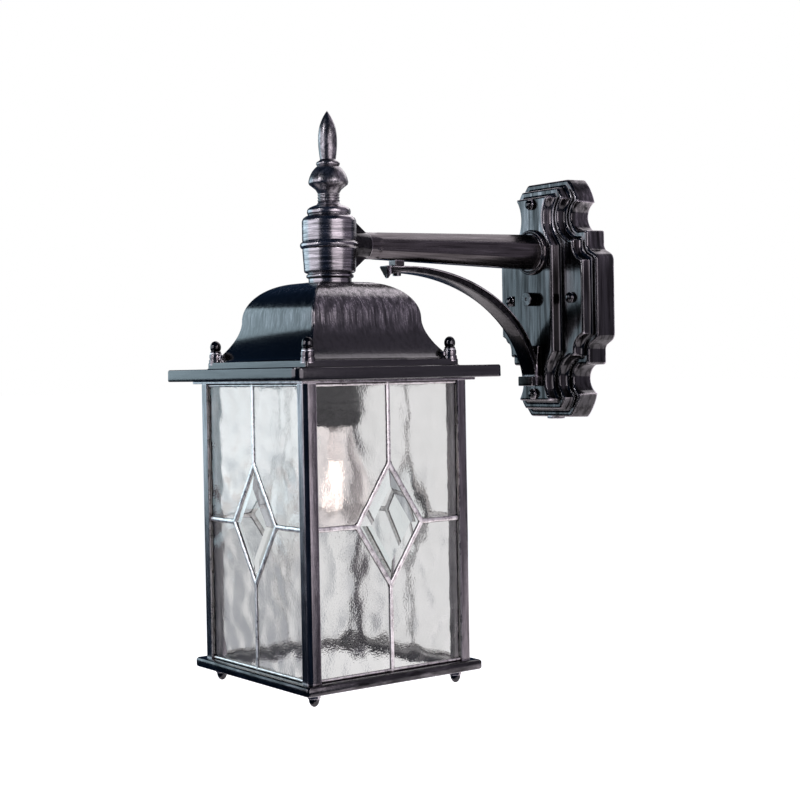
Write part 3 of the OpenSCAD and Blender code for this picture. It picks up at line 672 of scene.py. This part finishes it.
bm = bmesh.new()
nut_places = [(0, z, WALL_FACE) for z in (77.5, -77.5)] + [(x, 0, TIER_FACE) for x in (-36.5, 36.5)]
for x0, z0, face in nut_places:
    domed_nut(bm, out_of_wall(x0, face, z0), 8.5, 2.1, 5.1)
finish(bm, "plate_nuts_domed", "nut", ROOT, ["plate_nuts"])
bm = bmesh.new()
profile = rounded([(0, 0), (5.6, 0), (5.6, 7.2), (1.4, 7.2), (1.0, 6.7), (0, 6.7)], 0.5)
revolve(bm, profile, out_of_wall(0, WALL_FACE, 0), 64)
finish(bm, "centre_peg", "nut", ROOT, ["centre_nut"])

# ---- arm, collar and brace

ARM_FROM, ARM_TO = 32.2, REACH - 41.0  # from the lantern's axis towards the wall
ROUND_TO, FLAT_FROM = 37.0, 42.5  # the stretch where the round end turns eight-sided
ARM_THIN, ARM_THICK = 10.2, 14.3


def arm_section(out):
    """The arm's outline at a distance from the lantern's axis."""
    k = max(0.0, min(1.0, (out - ROUND_TO) / (FLAT_FROM - ROUND_TO)))
    r = ARM_THIN if out < 40 else lerp(ARM_THIN, ARM_THICK, (out - 40) / (ARM_TO - 40))
    pts = []
    for i in range(96):
        a = 360 * i / 96
        off_flat = ((a + 22.5) % 45) - 22.5
        octagon = lerp(min(r / math.cos(math.radians(off_flat)), r * 1.076), r, 0.30)
        rr = lerp(r, octagon, k * k * (3 - 2 * k))
        pts.append(W(rr * math.cos(math.radians(a)), out - REACH, ARM_Z + rr * math.sin(math.radians(a))))
    return pts


bm = bmesh.new()
stations = [ARM_FROM, ARM_FROM + 0.4, 35, ROUND_TO] + [ROUND_TO + 0.55 * k for k in range(1, 11)]
stations += [45, 58, 75, 100, 130, 160, 185, ARM_TO]
loft(bm, [arm_section(out) for out in stations], True, True)
# pad that the brace is screwed to
pad = [(-4.4, -180.9), (-4.4, -172.1), (4.4, -172.1), (4.4, -180.9)]
prism(bm, pad, W, 23.75, 29.5, 0.6)
finish(bm, "arm_cast", "arm", ROOT, ["arm"], sharp=14)

bm = bmesh.new()
ring = [(0, 0.0), (18.5, 0.0), (18.5, 1.2)] + arc(16.9, 1.6, 1.6, 1.6, 10, 90, 6) + [(15.9, 2.5), (15.2, 2.3)]
ring += arc(14.9, 2.6, 0.8, 0.8, 20, 90, 4) + [(13.5, 3.45), (0, 3.45)]
revolve(bm, ring, out_of_wall(0, WALL_FACE, ARM_Z), 96)
finish(bm, "arm_rosette", "arm", ROOT, ["arm_collar"])

# the curve's upper and lower edges are quarter ellipses: centre (y, z) and radii
UP = ((-170.0, -66.0), (130.0, 89.7))
LOW = ((-176.0, -75.0), (134.0, 93.7))
BLOCK_Y, BLOCK_LOW = -42.3, -71.0
BRACE_TOP = 23.7


def on(ellipse, a):
    (y, z), (ry, rz) = ellipse
    return Vector((y + ry * math.cos(a), z + rz * math.sin(a)))


def brace_station(t):
    """Upper and lower edge of the brace's curve at t, from the block (0) to the flat near the tip (1)."""
    a0 = math.acos((BLOCK_Y + 1.2 - UP[0][0]) / UP[1][0])
    b0 = math.acos((BLOCK_Y + 0.2 - LOW[0][0]) / LOW[1][0])
    return on(UP, lerp(a0, math.pi / 2, t)), on(LOW, lerp(b0, math.pi / 2, t))


def brace_half(y):
    """Half width of the brace, which narrows to its free end."""
    return lerp(8.5, 4.65, max(0.0, min(1.0, (-160.0 - y) / 24.0)))


def brace_section(up, low, half):
    """Cross-section between the two edges: flange, groove, body with a rounded belly."""
    thick = (up - low).length
    n = (low - up).normalized()
    prof = [(0.0, 0.0), (0.82, 0.0), (0.93, 0.03), (1.0, 0.35), (1.0, 1.1), (0.96, 1.45), (0.86, 1.6)]
    prof += [(0.86, 2.1), (0.93, 2.35), (0.98, 2.8), (1.0, 3.4)]
    prof += [(1.0, thick - 1.6), (0.97, thick - 0.7), (0.86, thick - 0.15), (0.7, thick)]
    right = [(half * w, s) for w, s in prof]
    loop = right + [(-x, s) for x, s in reversed(right[1:])]
    return [W(x, up.x + n.x * s, up.y + n.y * s) for x, s in loop]


bm = bmesh.new()
secs = []
for k in range(41):
    up, low = brace_station(k / 40)
    secs.append(brace_section(up, low, brace_half((up.x + low.x) / 2)))
for y, bottom in ((-178.5, 18.4), (-181.0, 17.9), (-184.0, 17.2), (-186.2, 16.8)):
    secs.append(brace_section(Vector((y, BRACE_TOP)), Vector((y, bottom)), brace_half(y)))
loft(bm, secs, True, True)


def wedge_ring(points):
    """A ring that is the same on both sides, from its right half: top, side and keel."""
    (x0, *top), (x1, *side), (x2, *keel) = points
    return [W(x0, *top), W(-x0, *top), W(-x1, *side), W(-x2, *keel), W(x2, *keel), W(x1, *side)]


# the free end: a wedge whose bottom edge runs down to a keel
root_end = wedge_ring([(4.65, -185.6, 23.65), (4.65, -185.6, 17.2), (0.9, -185.2, 14.4)])
free_end = wedge_ring([(4.6, -188.8, 23.65), (4.65, -189.3, 22.7), (0.7, -186.6, 14.1)])
loft(bm, [root_end, free_end], True, True)


def across(u, v, w):
    """Outline (y, z) in the middle plane, and thickness across."""
    return W(w, u, v)


block = [(WALL_FACE, -38.0), (BLOCK_Y + 2.4, -38.0), (BLOCK_Y + 0.6, -48.0), (BLOCK_Y, -58.0)]
block += [(BLOCK_Y, BLOCK_LOW + 1), (WALL_FACE, BLOCK_LOW + 1)]
prism(bm, block, across, -8.45, 8.45, 0.7)
toe = [(WALL_FACE, BLOCK_LOW), (-47.5, BLOCK_LOW), (-47.5, -63.2), (WALL_FACE, -63.2)]
prism(bm, toe, across, -8.5, 8.5, 0.8)
# the brace's faces that look along -y take the near-black enamel: painted shade
recolour(finish(bm, "brace_cast", "brace", ROOT, ["brace"]), "painted_shade", lambda face: face.normal.y < -0.8)

# ---- hub, finial

HUB_TOP = 129.3

bm = bmesh.new()
# foot, lower barrel, waist bead, upper barrel, shoulder and collar
outer = rounded([(16.0, 71.0), (16.0, 74.9), (17.5, 75.5), (17.7, 76.6), (17.3, 77.7), (16.4, 78.1),
                 (16.4, 78.5), (18.4, 79.2), (19.2, 80.0), (20.25, 95.9), (20.1, 96.7)], 0.5, 3)
outer += arc(20.2, 99.4, 1.75, 2.3, -80, 80, 10)
outer += rounded([(20.05, 102.3), (20.25, 103.0), (20.25, 117.4), (19.2, 119.6), (17.0, 121.1), (15.6, 121.6),
                  (15.5, 122.2), (16.2, 122.9), (16.35, 124.2), (16.2, 125.3), (15.6, 126.5), (14.3, 127.5),
                  (12.5, 128.3), (9.8, 129.25), (8.6, HUB_TOP)], 0.5, 4)
revolve(bm, [(0, 71.0)] + outer + [(0, HUB_TOP)], L, 128)
hub = finish(bm, "hub_turned", "hub", ROOT, ["hub"])
# boss for the arm, with a tapered web above and below it
boss = [(0, 13.0), (10.35, 13.0), (10.35, 31.6), (10.05, 32.1), (0, 32.1)]
bm = bmesh.new()
revolve(bm, boss, lambda x, y, h: L(x, h, ARM_Z - BRIM_Z + y), 96)
unite(hub, bm)
web = [(14.0, 18.8), (19.4, 18.8), (31.7, 8.9), (31.7, -8.9), (19.4, -18.8), (14.0, -18.8)]
bm = bmesh.new()
prism(bm, web, lambda u, v, w: L(w, u, ARM_Z - BRIM_Z + v), -4.4, 4.4, 0.9)
unite(hub, bm)


def on_boss(face):
    """Whether a face of the hub belongs to the boss or its webs."""
    x, y, z = (c / MM for c in face.center)
    out = math.hypot(x, y + REACH)
    return out > 22.2 or (out > 20.6 and y + REACH > 18 and abs(z - ARM_Z) > 3)


recolour(hub, "brace", on_boss)

bm = bmesh.new()
spike = [(9.3, HUB_TOP), (8.4, 130.6), (8.0, 131.4)]
# three beads, the onion, its ring and the spike
spike += arc(7.5, 132.6, 0.75, 0.9, -80, 80, 6) + arc(7.5, 134.9, 0.75, 0.95, -80, 80, 6)
spike += arc(7.5, 137.0, 0.7, 0.8, -80, 60, 5)
spike += [(8.4, 138.6), (9.6, 140.7), (12.4, 143.0), (14.2, 144.3), (14.8, 145.6), (14.85, 146.4)]
spike += [(14.6, 147.7), (14.05, 149.7), (13.15, 151.9), (11.95, 154.1), (10.25, 156.3), (8.9, 157.5)]
spike += [(8.1, 158.0)]
spike += arc(7.5, 159.9, 1.35, 1.6, -75, 80, 8)
spike += [(6.6, 162.2), (5.85, 163.1), (6.0, 164.0), (6.3, 166.0), (6.75, 170.0), (6.95, 173.0)]
spike += [(7.05 * (1 - (k / 16) ** 2.6), 175.5 + 23.8 * k / 16) for k in range(16)] + [(0, 199.35)]
revolve(bm, [(0, HUB_TOP)] + spike, L, 96)
finish(bm, "finial_turned", "finial", ROOT, ["finial"])

# ---- roof

BRIM_HALF = 90.7
FLARE_TOP = 44.0  # where the dome's flare meets its round

# half width and height of each ring: brim and plinth, flare, round; then back down inside
body = [(56.6, 0.6), (57.2, 0.0)]
edge = ((1.0, 0.0), (0.3, 0.3), (0.0, 1.0), (0.15, 7.6), (0.5, 8.5), (1.3, 8.9))
body += [(BRIM_HALF - d, z) for d, z in edge]
body += [(70.0, 8.9), (68.0, 9.0), (67.4, 9.4), (67.2, 10.2), (67.2, 13.0), (66.9, 13.7), (66.2, 14.0)]
body += [(65.2, 14.1), (64.4, 14.3)]
body += [(48.4 + 15.6 * (k / 16) ** 1.8, FLARE_TOP - 29.7 * k / 16) for k in range(15, -1, -1)]
body += arc(17, FLARE_TOP, 31.4, 27.6, 0, 90, 24)[1:] + [(6.0, 71.6)]
under = [(6.0, 69.0), (17.0, 69.0)] + arc(17, FLARE_TOP, 28.4, 24.7, 90, 0, 12)[1:]
under += [(45.4 + 10.6 * (k / 9) ** 1.8, FLARE_TOP - 30 * k / 9) for k in range(1, 10)]
under += [(56.1, 10.0), (56.2, 2.0)]
rings = [square_ring(h, z, 6.0 - (BRIM_HALF - h) if h > 80 else 1.6, 8) for h, z in body]
rings += [square_ring(h, z, 1.0, 8) for h, z in under]
bm = bmesh.new()
loft(bm, rings, closed=True)
roof = finish(bm, "roof_cast", "dome", ROOT, ["roof"], sharp=28)
recolour(roof, "brim", lambda face: (roof.matrix_world @ face.center).z < (BRIM_Z + 13.6) * MM)

BORE = 2.62  # round the tie rods
boss = [(BORE, 12.0), (5.15, 12.0), (5.15, 15.6), (4.9, 16.1), (4.5, 16.3), (4.5, 17.0), (4.75, 17.3)]
boss += [(4.75, 19.6), (4.4, 20.2), (BORE, 20.2)]
web = [(3.2, 13.4), (3.2, 19.4), (9.5, 19.4), (9.5, 13.4)]


def inward(sx, sy):
    """A place function for an outline in the upright plane from a rod towards the lantern's axis."""
    angle = math.atan2(-sy, -sx)
    dx, dy = math.cos(angle), math.sin(angle)
    return lambda u, v, w: L(sx * ROD + dx * u - dy * w, sy * ROD + dy * u + dx * w, v)


bm = bmesh.new()
for name, sx, sy in CORNERS:
    revolve(bm, boss, at_rod(sx, sy), 48)
    prism(bm, web, inward(sx, sy), -3.3, 3.3, 0.8)
finish(bm, "roof_bosses", "cage", ROOT)

KNOB_Z = 21.1
acorn = [(0, 6.3), (2.56, 6.3), (2.56, 0), (3.55, 0), (3.95, 0.35), (3.95, 0.95), (3.6, 1.35)]
acorn += arc(0, 4.3, 4.1, 4.75, -35, 88, 18) + [(0, 9.05)]
for name, sx, sy in CORNERS:
    bm = bmesh.new()
    revolve(bm, acorn, at_rod(sx, sy, KNOB_Z), 56)
    finish(bm, "acorn_" + name, "nut", "knob_" + name, ["knob_" + name])

# ---- cage frames, posts, nuts

BASE_TOP, BASE_LOW = -208.2, -215.3
POST_TOP = -2.0


def square_frame(outside, inside, rc_out, rc_in):
    """A square frame from the outside and inside of its section, (half width, height), and their radii."""
    bm = bmesh.new()
    rings = [square_ring(h, z, rc_out) for h, z in outside] + [square_ring(h, z, rc_in) for h, z in inside]
    loft(bm, rings, closed=True)
    return bm


outside = [(75.6, -0.1), (75.9, -0.4), (75.9, -1.6), (75.6, -1.95)]
inside = [(58.2, -1.95), (58.0, -1.6), (58.0, -0.4), (58.2, -0.1)]
finish(square_frame(outside, inside, 1.4, 1.0), "cage_top_frame", "cage", "cage", ["cage_top"])

outside = [(h, BASE_TOP - d) for h, d in ((75.0, 0), (76.1, 0.25), (76.85, 0.9), (77.15, 1.7))]
outside += [(h, BASE_LOW + d) for h, d in ((77.15, 1.4), (76.9, 0.6), (76.2, 0.1), (75.4, 0))]
inside = [(h, BASE_LOW + d) for h, d in ((58.9, 0), (58.2, 0.3), (58.0, 1.0))]
inside += [(h, BASE_TOP - d) for h, d in ((58.0, 1.0), (58.3, 0.3), (59.0, 0))]
finish(square_frame(outside, inside, 2.4, 0.8), "cage_base_frame", "base", "cage", ["cage_base"])


def post_section():
    """An L of sheet with a softened outer corner and a square block inside it."""
    out, leg, skin, block = 71.7, 62.0, 70.2, 64.8
    half = [(leg, skin), (leg, out - 0.25), (leg + 0.25, out), (out - 3.2, out), (out - 2.85, out - 0.07)]
    half += [(out - 2.5, out - 0.3)]
    near = [(block, 68.4), (65.6, 68.4), (63.8, skin)]
    far = [(y, x) for x, y in reversed(half)] + [(y, x) for x, y in reversed(near)]
    return half[1:] + far + [(block, block)] + near + half[:1]


POST_RINGS = [BASE_TOP, BASE_TOP + 4, lerp(BASE_TOP, POST_TOP, 0.33), lerp(BASE_TOP, POST_TOP, 0.66)]
POST_RINGS += [POST_TOP - 4, POST_TOP]
for name, sx, sy in CORNERS:
    bm = bmesh.new()
    loft(bm, [[L(sx * x, sy * y, z) for x, y in post_section()] for z in POST_RINGS], True, True)
    revolve(bm, [(BORE, BASE_TOP), (4.0, BASE_TOP), (4.0, POST_TOP), (BORE, POST_TOP)], at_rod(sx, sy), 40)
    finish(bm, "corner_" + name, "cage", "cage", ["post_" + name], sharp=24)

bm = bmesh.new()
for name, sx, sy in CORNERS:
    domed_nut(bm, at_rod(sx, sy, BASE_LOW, -1), 8.0, 4.4, 10.2)
finish(bm, "base_nuts_domed", "nut", "cage", ["base_nuts"])

# ---- leaded panes

DIA_A, DIA_B, DIA_Z = 28.3, 43.0, -103.0  # half width, half height and place of the diamond
PANE_TOP, PANE_BOTTOM = POST_TOP - DIA_Z, BASE_TOP - DIA_Z
CAME_HALF = 2.0
SLANT = math.hypot(1 / DIA_A, 1 / DIA_B)
GLASS_IN, GLASS_T = 67.2, 2.6
PANE_MID = GLASS_IN + GLASS_T / 2
EDGE = 64.3


def side_place(turn):
    """A place function for the pane on the side turned by so many degrees from the front."""
    c, s = math.cos(math.radians(turn)), math.sin(math.radians(turn))

    def place(u, out, v):
        """u along the pane, out from the lantern's axis, v above the diamond's centre."""
        x, y = u, -out
        return L(c * x - s * y, s * x + c * y, v + DIA_Z)

    return place


def ripple(u, v, seed):
    """Height in mm of the sheet's rolled waves."""
    a = noise.noise(Vector((u / 12.0, v / 14.0, seed)))
    b = noise.noise(Vector((u / 5.5 + 9, v / 7.0, seed + 4)))
    c = noise.noise(Vector((u / 2.4, v / 2.4, seed + 8)))
    return 0.46 * a + 0.045 * b + 0.010 * c


def sheet_quarter(bm, place, sx, sz, seed):
    """One of the four textured pieces: a rectangle with its inner corner cut off, rippled outside."""
    part = bmesh.new()
    tall = (PANE_TOP if sz > 0 else -PANE_BOTTOM) - 0.2
    nu, nv = int(EDGE / 1.55), int(tall / 1.55)
    grid = [[part.verts.new(Vector((sx * EDGE * i / nu, sz * tall * j / nv, 0))) for j in range(nv + 1)]
            for i in range(nu + 1)]
    for i in range(nu):
        for j in range(nv):
            part.faces.new((grid[i][j], grid[i + 1][j], grid[i + 1][j + 1], grid[i][j + 1]))

    def cut(point, normal):
        geom = part.verts[:] + part.edges[:] + part.faces[:]
        bmesh.ops.bisect_plane(part, geom=geom, dist=1e-5, plane_co=point, plane_no=normal, clear_outer=True)

    gap = CAME_HALF * 0.55
    cut(Vector((sx * gap, 0, 0)), Vector((-sx, 0, 0)))
    cut(Vector((0, sz * gap, 0)), Vector((0, -sz, 0)))
    k = 1 + gap * SLANT
    cut(Vector((sx * DIA_A * k, 0, 0)), Vector((-sx / DIA_A, -sz / DIA_B, 0)))
    ext = bmesh.ops.extrude_face_region(part, geom=part.faces[:])
    for v in ext["geom"]:
        if isinstance(v, bmesh.types.BMVert):
            v.co.z = GLASS_T
    for v in part.verts:
        if v.co.z > GLASS_T / 2:
            v.co.z += ripple(v.co.x, v.co.y, seed) - 0.20
        else:
            v.co.z += 0.12 * ripple(v.co.x, v.co.y, seed + 31)
    copy_into(part, bm, lambda u, v, w: place(u, GLASS_IN + w, v))
    part.free()


def came_strip(bm, place, a, b, half, seed, thick=3.3):
    """A run of came between two points of the pane, slightly uneven as lead is."""
    a, b = Vector(a), Vector(b)
    d = (b - a)
    length = d.length
    d.normalize()
    n = Vector((-d.y, d.x))
    count = max(6, int(length / 2.2))
    rings = []
    for k in range(count + 1):
        s = length * k / count
        p = a + d * s
        wob = noise.noise(Vector((s / 9.0, seed, 2.0))) * 0.22
        w = half * (1 + 0.10 * noise.noise(Vector((s / 5.0, seed, 7.0))))
        h = thick / 2 * (1 + 0.06 * noise.noise(Vector((s / 4.0, seed, 12.0))))
        ring = []
        for i in range(16):
            t = 2 * math.pi * i / 16
            cx, cz = math.cos(t), math.sin(t)
            ex = math.copysign(abs(cx) ** 0.75, cx) * w
            ez = math.copysign(abs(cz) ** 0.6, cz) * h
            q = p + n * (ex + wob)
            ring.append(place(q.x, PANE_MID + ez, q.y))
        rings.append(ring)
    loft(bm, rings, True, True)


def solder(bm, place, at, seed, r=2.9, thick=3.35):
    """A lump of solder over a joint."""
    rings = []
    for j in range(1, 12):
        lat = -math.pi / 2 + math.pi * j / 12
        ring = []
        for i in range(24):
            t = 2 * math.pi * i / 24
            rr = r * (1 + 0.16 * noise.noise(Vector((math.cos(t) * 1.4, math.sin(t) * 1.4, seed))))
            u, v = rr * math.cos(lat) * math.cos(t), rr * math.cos(lat) * math.sin(t)
            ring.append(place(at[0] + u, PANE_MID + thick / 2 * math.sin(lat), at[1] + v))
        rings.append(ring)
    loft(bm, rings, True, True)


def diamond_ring(place, grow, w):
    """The diamond's outline, grown by so many mm, at height w above the pane's inner face."""
    k = 1 + grow * SLANT
    return [place(DIA_A * k * u, GLASS_IN + w, DIA_B * k * v) for u, v in ((1, 0), (0, 1), (-1, 0), (0, -1))]


# flat inside, with an upright rim, and bevelled all round outside
DIAMOND_RINGS = ((-0.5 * CAME_HALF, 0.0), (-0.5 * CAME_HALF, 1.5), (-CAME_HALF - 7.2, 3.6))
TIPS = [(DIA_A, 0), (0, DIA_B), (-DIA_A, 0), (0, -DIA_B)]
# the came's runs, with half their widths: round the diamond, from its tips to the edges, and round the pane
RUNS = [(TIPS[k], TIPS[(k + 1) % 4], 2.05) for k in range(4)]
RUNS += [(TIPS[1], (0, PANE_TOP - 0.2), 1.85), (TIPS[3], (0, PANE_BOTTOM + 0.2), 1.85)]
RUNS += [(TIPS[0], (64.2, 0), 1.85), (TIPS[2], (-64.2, 0), 1.85)]
RUNS += [((x, PANE_BOTTOM + 1.4), (x, PANE_TOP - 1.4), 1.15) for x in (-63.3, 63.3)]
RUNS += [((-63.3, z), (63.3, z), 1.15) for z in (PANE_TOP - 1.2, PANE_BOTTOM + 1.2)]

for index, (side, turn) in enumerate(SIDES):
    place = side_place(turn)
    bm = bmesh.new()
    for sx in (-1, 1):
        for sz in (-1, 1):
            sheet_quarter(bm, place, sx, sz, 3.7 * index + sx + 5 * sz)
    finish(bm, "water_glass_" + side, "glass", "cage", ["glass_" + side], sharp=50)

    bm = bmesh.new()
    loft(bm, [diamond_ring(place, *q) for q in DIAMOND_RINGS], True, True)
    finish(bm, "bevelled_diamond_" + side, "bevel", "cage", ["diamond_" + side],
           sharp=5)

    bm = bmesh.new()
    for k, (a, b, half) in enumerate(RUNS):
        came_strip(bm, place, a, b, half, 10 * index + min(k + (k > 3), 9))
    for k, tip in enumerate(TIPS):
        solder(bm, place, tip, index * 4 + k)
    finish(bm, "lead_came_" + side, "came", "cage", ["came_" + side], sharp=60)

# ---- lampholder and lamp

bm = bmesh.new()
outer = rounded([(14.3, -28.0), (18.9, -28.0), (18.9, -24.4), (19.9, -23.8), (19.9, -17.5), (19.2, -17.0),
                 (19.2, -16.4), (19.9, -15.9), (19.9, -3.0), (17.5, 1.5), (9.2, 4.4), (8.9, 11.9),
                 (5.1, 11.9)], 0.6, 3)
revolve(bm, outer + [(5.1, 1.0), (14.3, -3.5)], L, 96)
finish(bm, "holder_moulded", "bakelite", ROOT, ["holder_body"])
bm = bmesh.new()
ring = [(14.2, -33.4), (20.8, -33.4), (21.8, -32.4)]
for z in (-31.18, -29.94, -28.7, -27.46, -26.22):
    ring += [(21.9, z - 0.45), (21.35, z - 0.15), (21.35, z + 0.15), (21.9, z + 0.45)]
ring += [(21.9, -24.8), (21.3, -24.1), (19.1, -24.1), (19.1, -28.1), (14.2, -28.1)]
revolve(bm, ring, L, 96)
finish(bm, "shade_ring_ribbed", "bakelite", ROOT, ["shade_ring"])

# the cap's rolled thread, drawn as rings
PITCH = 3.6
bm = bmesh.new()
profile = [(12.2, -30.3), (12.6, -30.5), (12.7, -29.4)]
profile += [(12.7 + 0.35 * math.cos(2 * math.pi * k / 10), -29.0 + PITCH * k / 10) for k in range(44)]
profile += [(12.2, -12.8), (9.8, -10.7), (5.2, -9.1), (5.2, -9.6), (9.6, -11.2), (11.9, -13.4), (11.9, -30.0)]
revolve(bm, profile, L, 72)
finish(bm, "lamp_cap_rolled", "cap", "lamp", ["lamp_cap"], sharp=60)

bm = bmesh.new()
bulb = [(0, -114.0)] + arc(0, -84, 30, 30, -86, 38, 26)
bulb += [(21.0, -59.4), (18.6, -54.5), (16.6, -50.0), (15.0, -45.5), (13.8, -41.0), (13.0, -36.5)]
bulb += [(12.4, -32.0), (12.2, -28.5)]
inner = [(max(0.0, r - 0.9), z + (0.9 if r < 1 else 0)) for r, z in reversed(bulb)]
revolve(bm, bulb + inner, L, 72)
finish(bm, "lamp_envelope", "lamp", "lamp", ["lamp_glass"], sharp=60)

# ---- stage, light, camera

floor_mat, tree, shader = new_material("pale_floor")
tone = noise_tex(tree, (0.002, 0.002, 0.002), 2.0)
feed(tree, shader, {"Base Color": mix_color(tree, tone, (0.86, 0.86, 0.86), (0.88, 0.88, 0.88)),
                    "Roughness": 0.9, "Specular IOR Level": 0.1, "Emission Color": (1, 1, 1),
                    "Emission Strength": 1.0})
FLOOR_HALF, FLOOR_Z = 40.0, -0.62  # metres
corners = [(x * FLOOR_HALF, y * FLOOR_HALF, FLOOR_Z) for x, y in ((-1, -1), (1, -1), (1, 1), (-1, 1))]
me = bpy.data.meshes.new("studio_floor")
me.from_pydata(corners, [], [(0, 1, 2, 3)])
me.materials.append(floor_mat)
floor = bpy.data.objects.new("studio_floor", me)
bpy.context.scene.collection.objects.link(floor)
floor.visible_glossy = False
floor.visible_diffuse = False
floor.visible_transmission = False


def studio_world():
    """Dim blue in reflections, white to the camera, and pale grey through glass, darker low on the left."""
    world = bpy.data.worlds.new("studio")
    bpy.context.scene.world = world
    world.use_nodes = True
    tree = world.node_tree
    tree.nodes.clear()
    path = tree.nodes.new("ShaderNodeLightPath")
    heading = tree.nodes.new("ShaderNodeTexCoord").outputs["Generated"]
    side = add(tree, "ShaderNodeVectorMath", {0: heading, 1: (0.6, 0.8, 0.0)}, operation="DOT_PRODUCT")
    to_left = ramp(tree, side.outputs["Value"], -0.045, -0.085)
    low_left = math_node(tree, "MULTIPLY", to_left, ramp(tree, axis_of(tree, heading, "Z"), -0.04, -0.13))
    grey = mix_color(tree, low_left, (1.0, 0.99, 0.99), (0.52, 0.53, 0.56))
    dim, through, bright = (
        add(tree, "ShaderNodeBackground", {"Color": color, "Strength": strength})
        for color, strength in (((0.20, 0.45, 1.0), 0.06), (grey, 0.79), ((1, 1, 1), 1.0))
    )
    shown = dim.outputs[0]
    for ray, other in (("Is Transmission Ray", through), ("Is Camera Ray", bright)):
        values = {0: path.outputs[ray], 1: shown, 2: other.outputs[0]}
        shown = add(tree, "ShaderNodeMixShader", values).outputs[0]
    add(tree, "ShaderNodeOutputWorld", {0: shown})


studio_world()

TARGET = Vector((0.0, -0.20, -0.06))
TO_CAMERA, TO_RIGHT = Vector((0.8, -0.6, 0.0)), Vector((0.6, 0.8, 0.0))


def softbox(name, place, width, tall, radiance, color):
    """Area light aimed at the lantern. Neither the camera nor the glass shows the light itself."""
    light = bpy.data.lights.new(name, "AREA")
    light.shape = "RECTANGLE"
    light.size, light.size_y = width, tall
    light.energy = radiance * width * tall * math.pi
    light.color = color
    ob = bpy.data.objects.new(name, light)
    ob.location = TARGET + place
    ob.rotation_euler = (TARGET - ob.location).to_track_quat("-Z", "Y").to_euler()
    ob.visible_camera = False
    ob.visible_transmission = False
    bpy.context.scene.collection.objects.link(ob)
    return ob


def round_about(angle, distance, height):
    """A place at an angle round the lantern, in degrees to the camera's right."""
    a = math.radians(angle)
    return (TO_CAMERA * math.cos(a) + TO_RIGHT * math.sin(a)) * distance + Vector((0, 0, height))


softbox("key_left", round_about(-70, 2.2, 0.35), 2.3, 1.3, 2.3, (0.95, 0.93, 1.0))
softbox("key_side", round_about(-117, 2.2, 0.32), 1.65, 1.24, 2.2, (0.70, 0.91, 1.0))
softbox("key_right", round_about(36, 2.3, 0.20), 2.0, 1.6, 2.3, (1.0, 0.91, 0.96))
softbox("fill_right", round_about(86, 2.6, 1.0), 2.7, 4.4, 0.33, (1.0, 0.84, 0.96))
softbox("rim_back", round_about(150, 2.4, 0.6), 1.6, 1.8, 0.5, (1.0, 0.97, 0.97))
softbox("top_back", Vector((-0.58, 0.96, 1.17)), 1.4, 1.4, 1.8, (1.0, 0.93, 0.96))
softbox("under", Vector((0.0, 0.20, -0.54)), 1.6, 1.6, 1.3, (1.0, 0.92, 0.94))
softbox("spark_left", round_about(-52, 2.0, 1.15), 0.2, 0.2, 45.0, (1.0, 0.98, 1.0))
softbox("spark_right", round_about(38, 2.0, 0.9), 0.18, 0.18, 32.0, (1.0, 0.93, 0.95))

cam_data = bpy.data.cameras.new("camera")
cam_data.sensor_width = 36.0
cam_data.lens = 69.28
cam_data.clip_end = 200
cam = bpy.data.objects.new("camera", cam_data)
bpy.context.scene.collection.objects.link(cam)
back = Vector((0.800, -0.600, 0.020)).normalized()
right = Vector((-0.005, 0.026, 1.0)).cross(back).normalized()
pose = Matrix((right, back.cross(right), back)).transposed().to_4x4()
pose.translation = (0.9471, -0.8859, -0.0554)
cam.matrix_world = pose
bpy.context.scene.camera = cam
bpy.context.scene.view_settings.view_transform = "Standard"
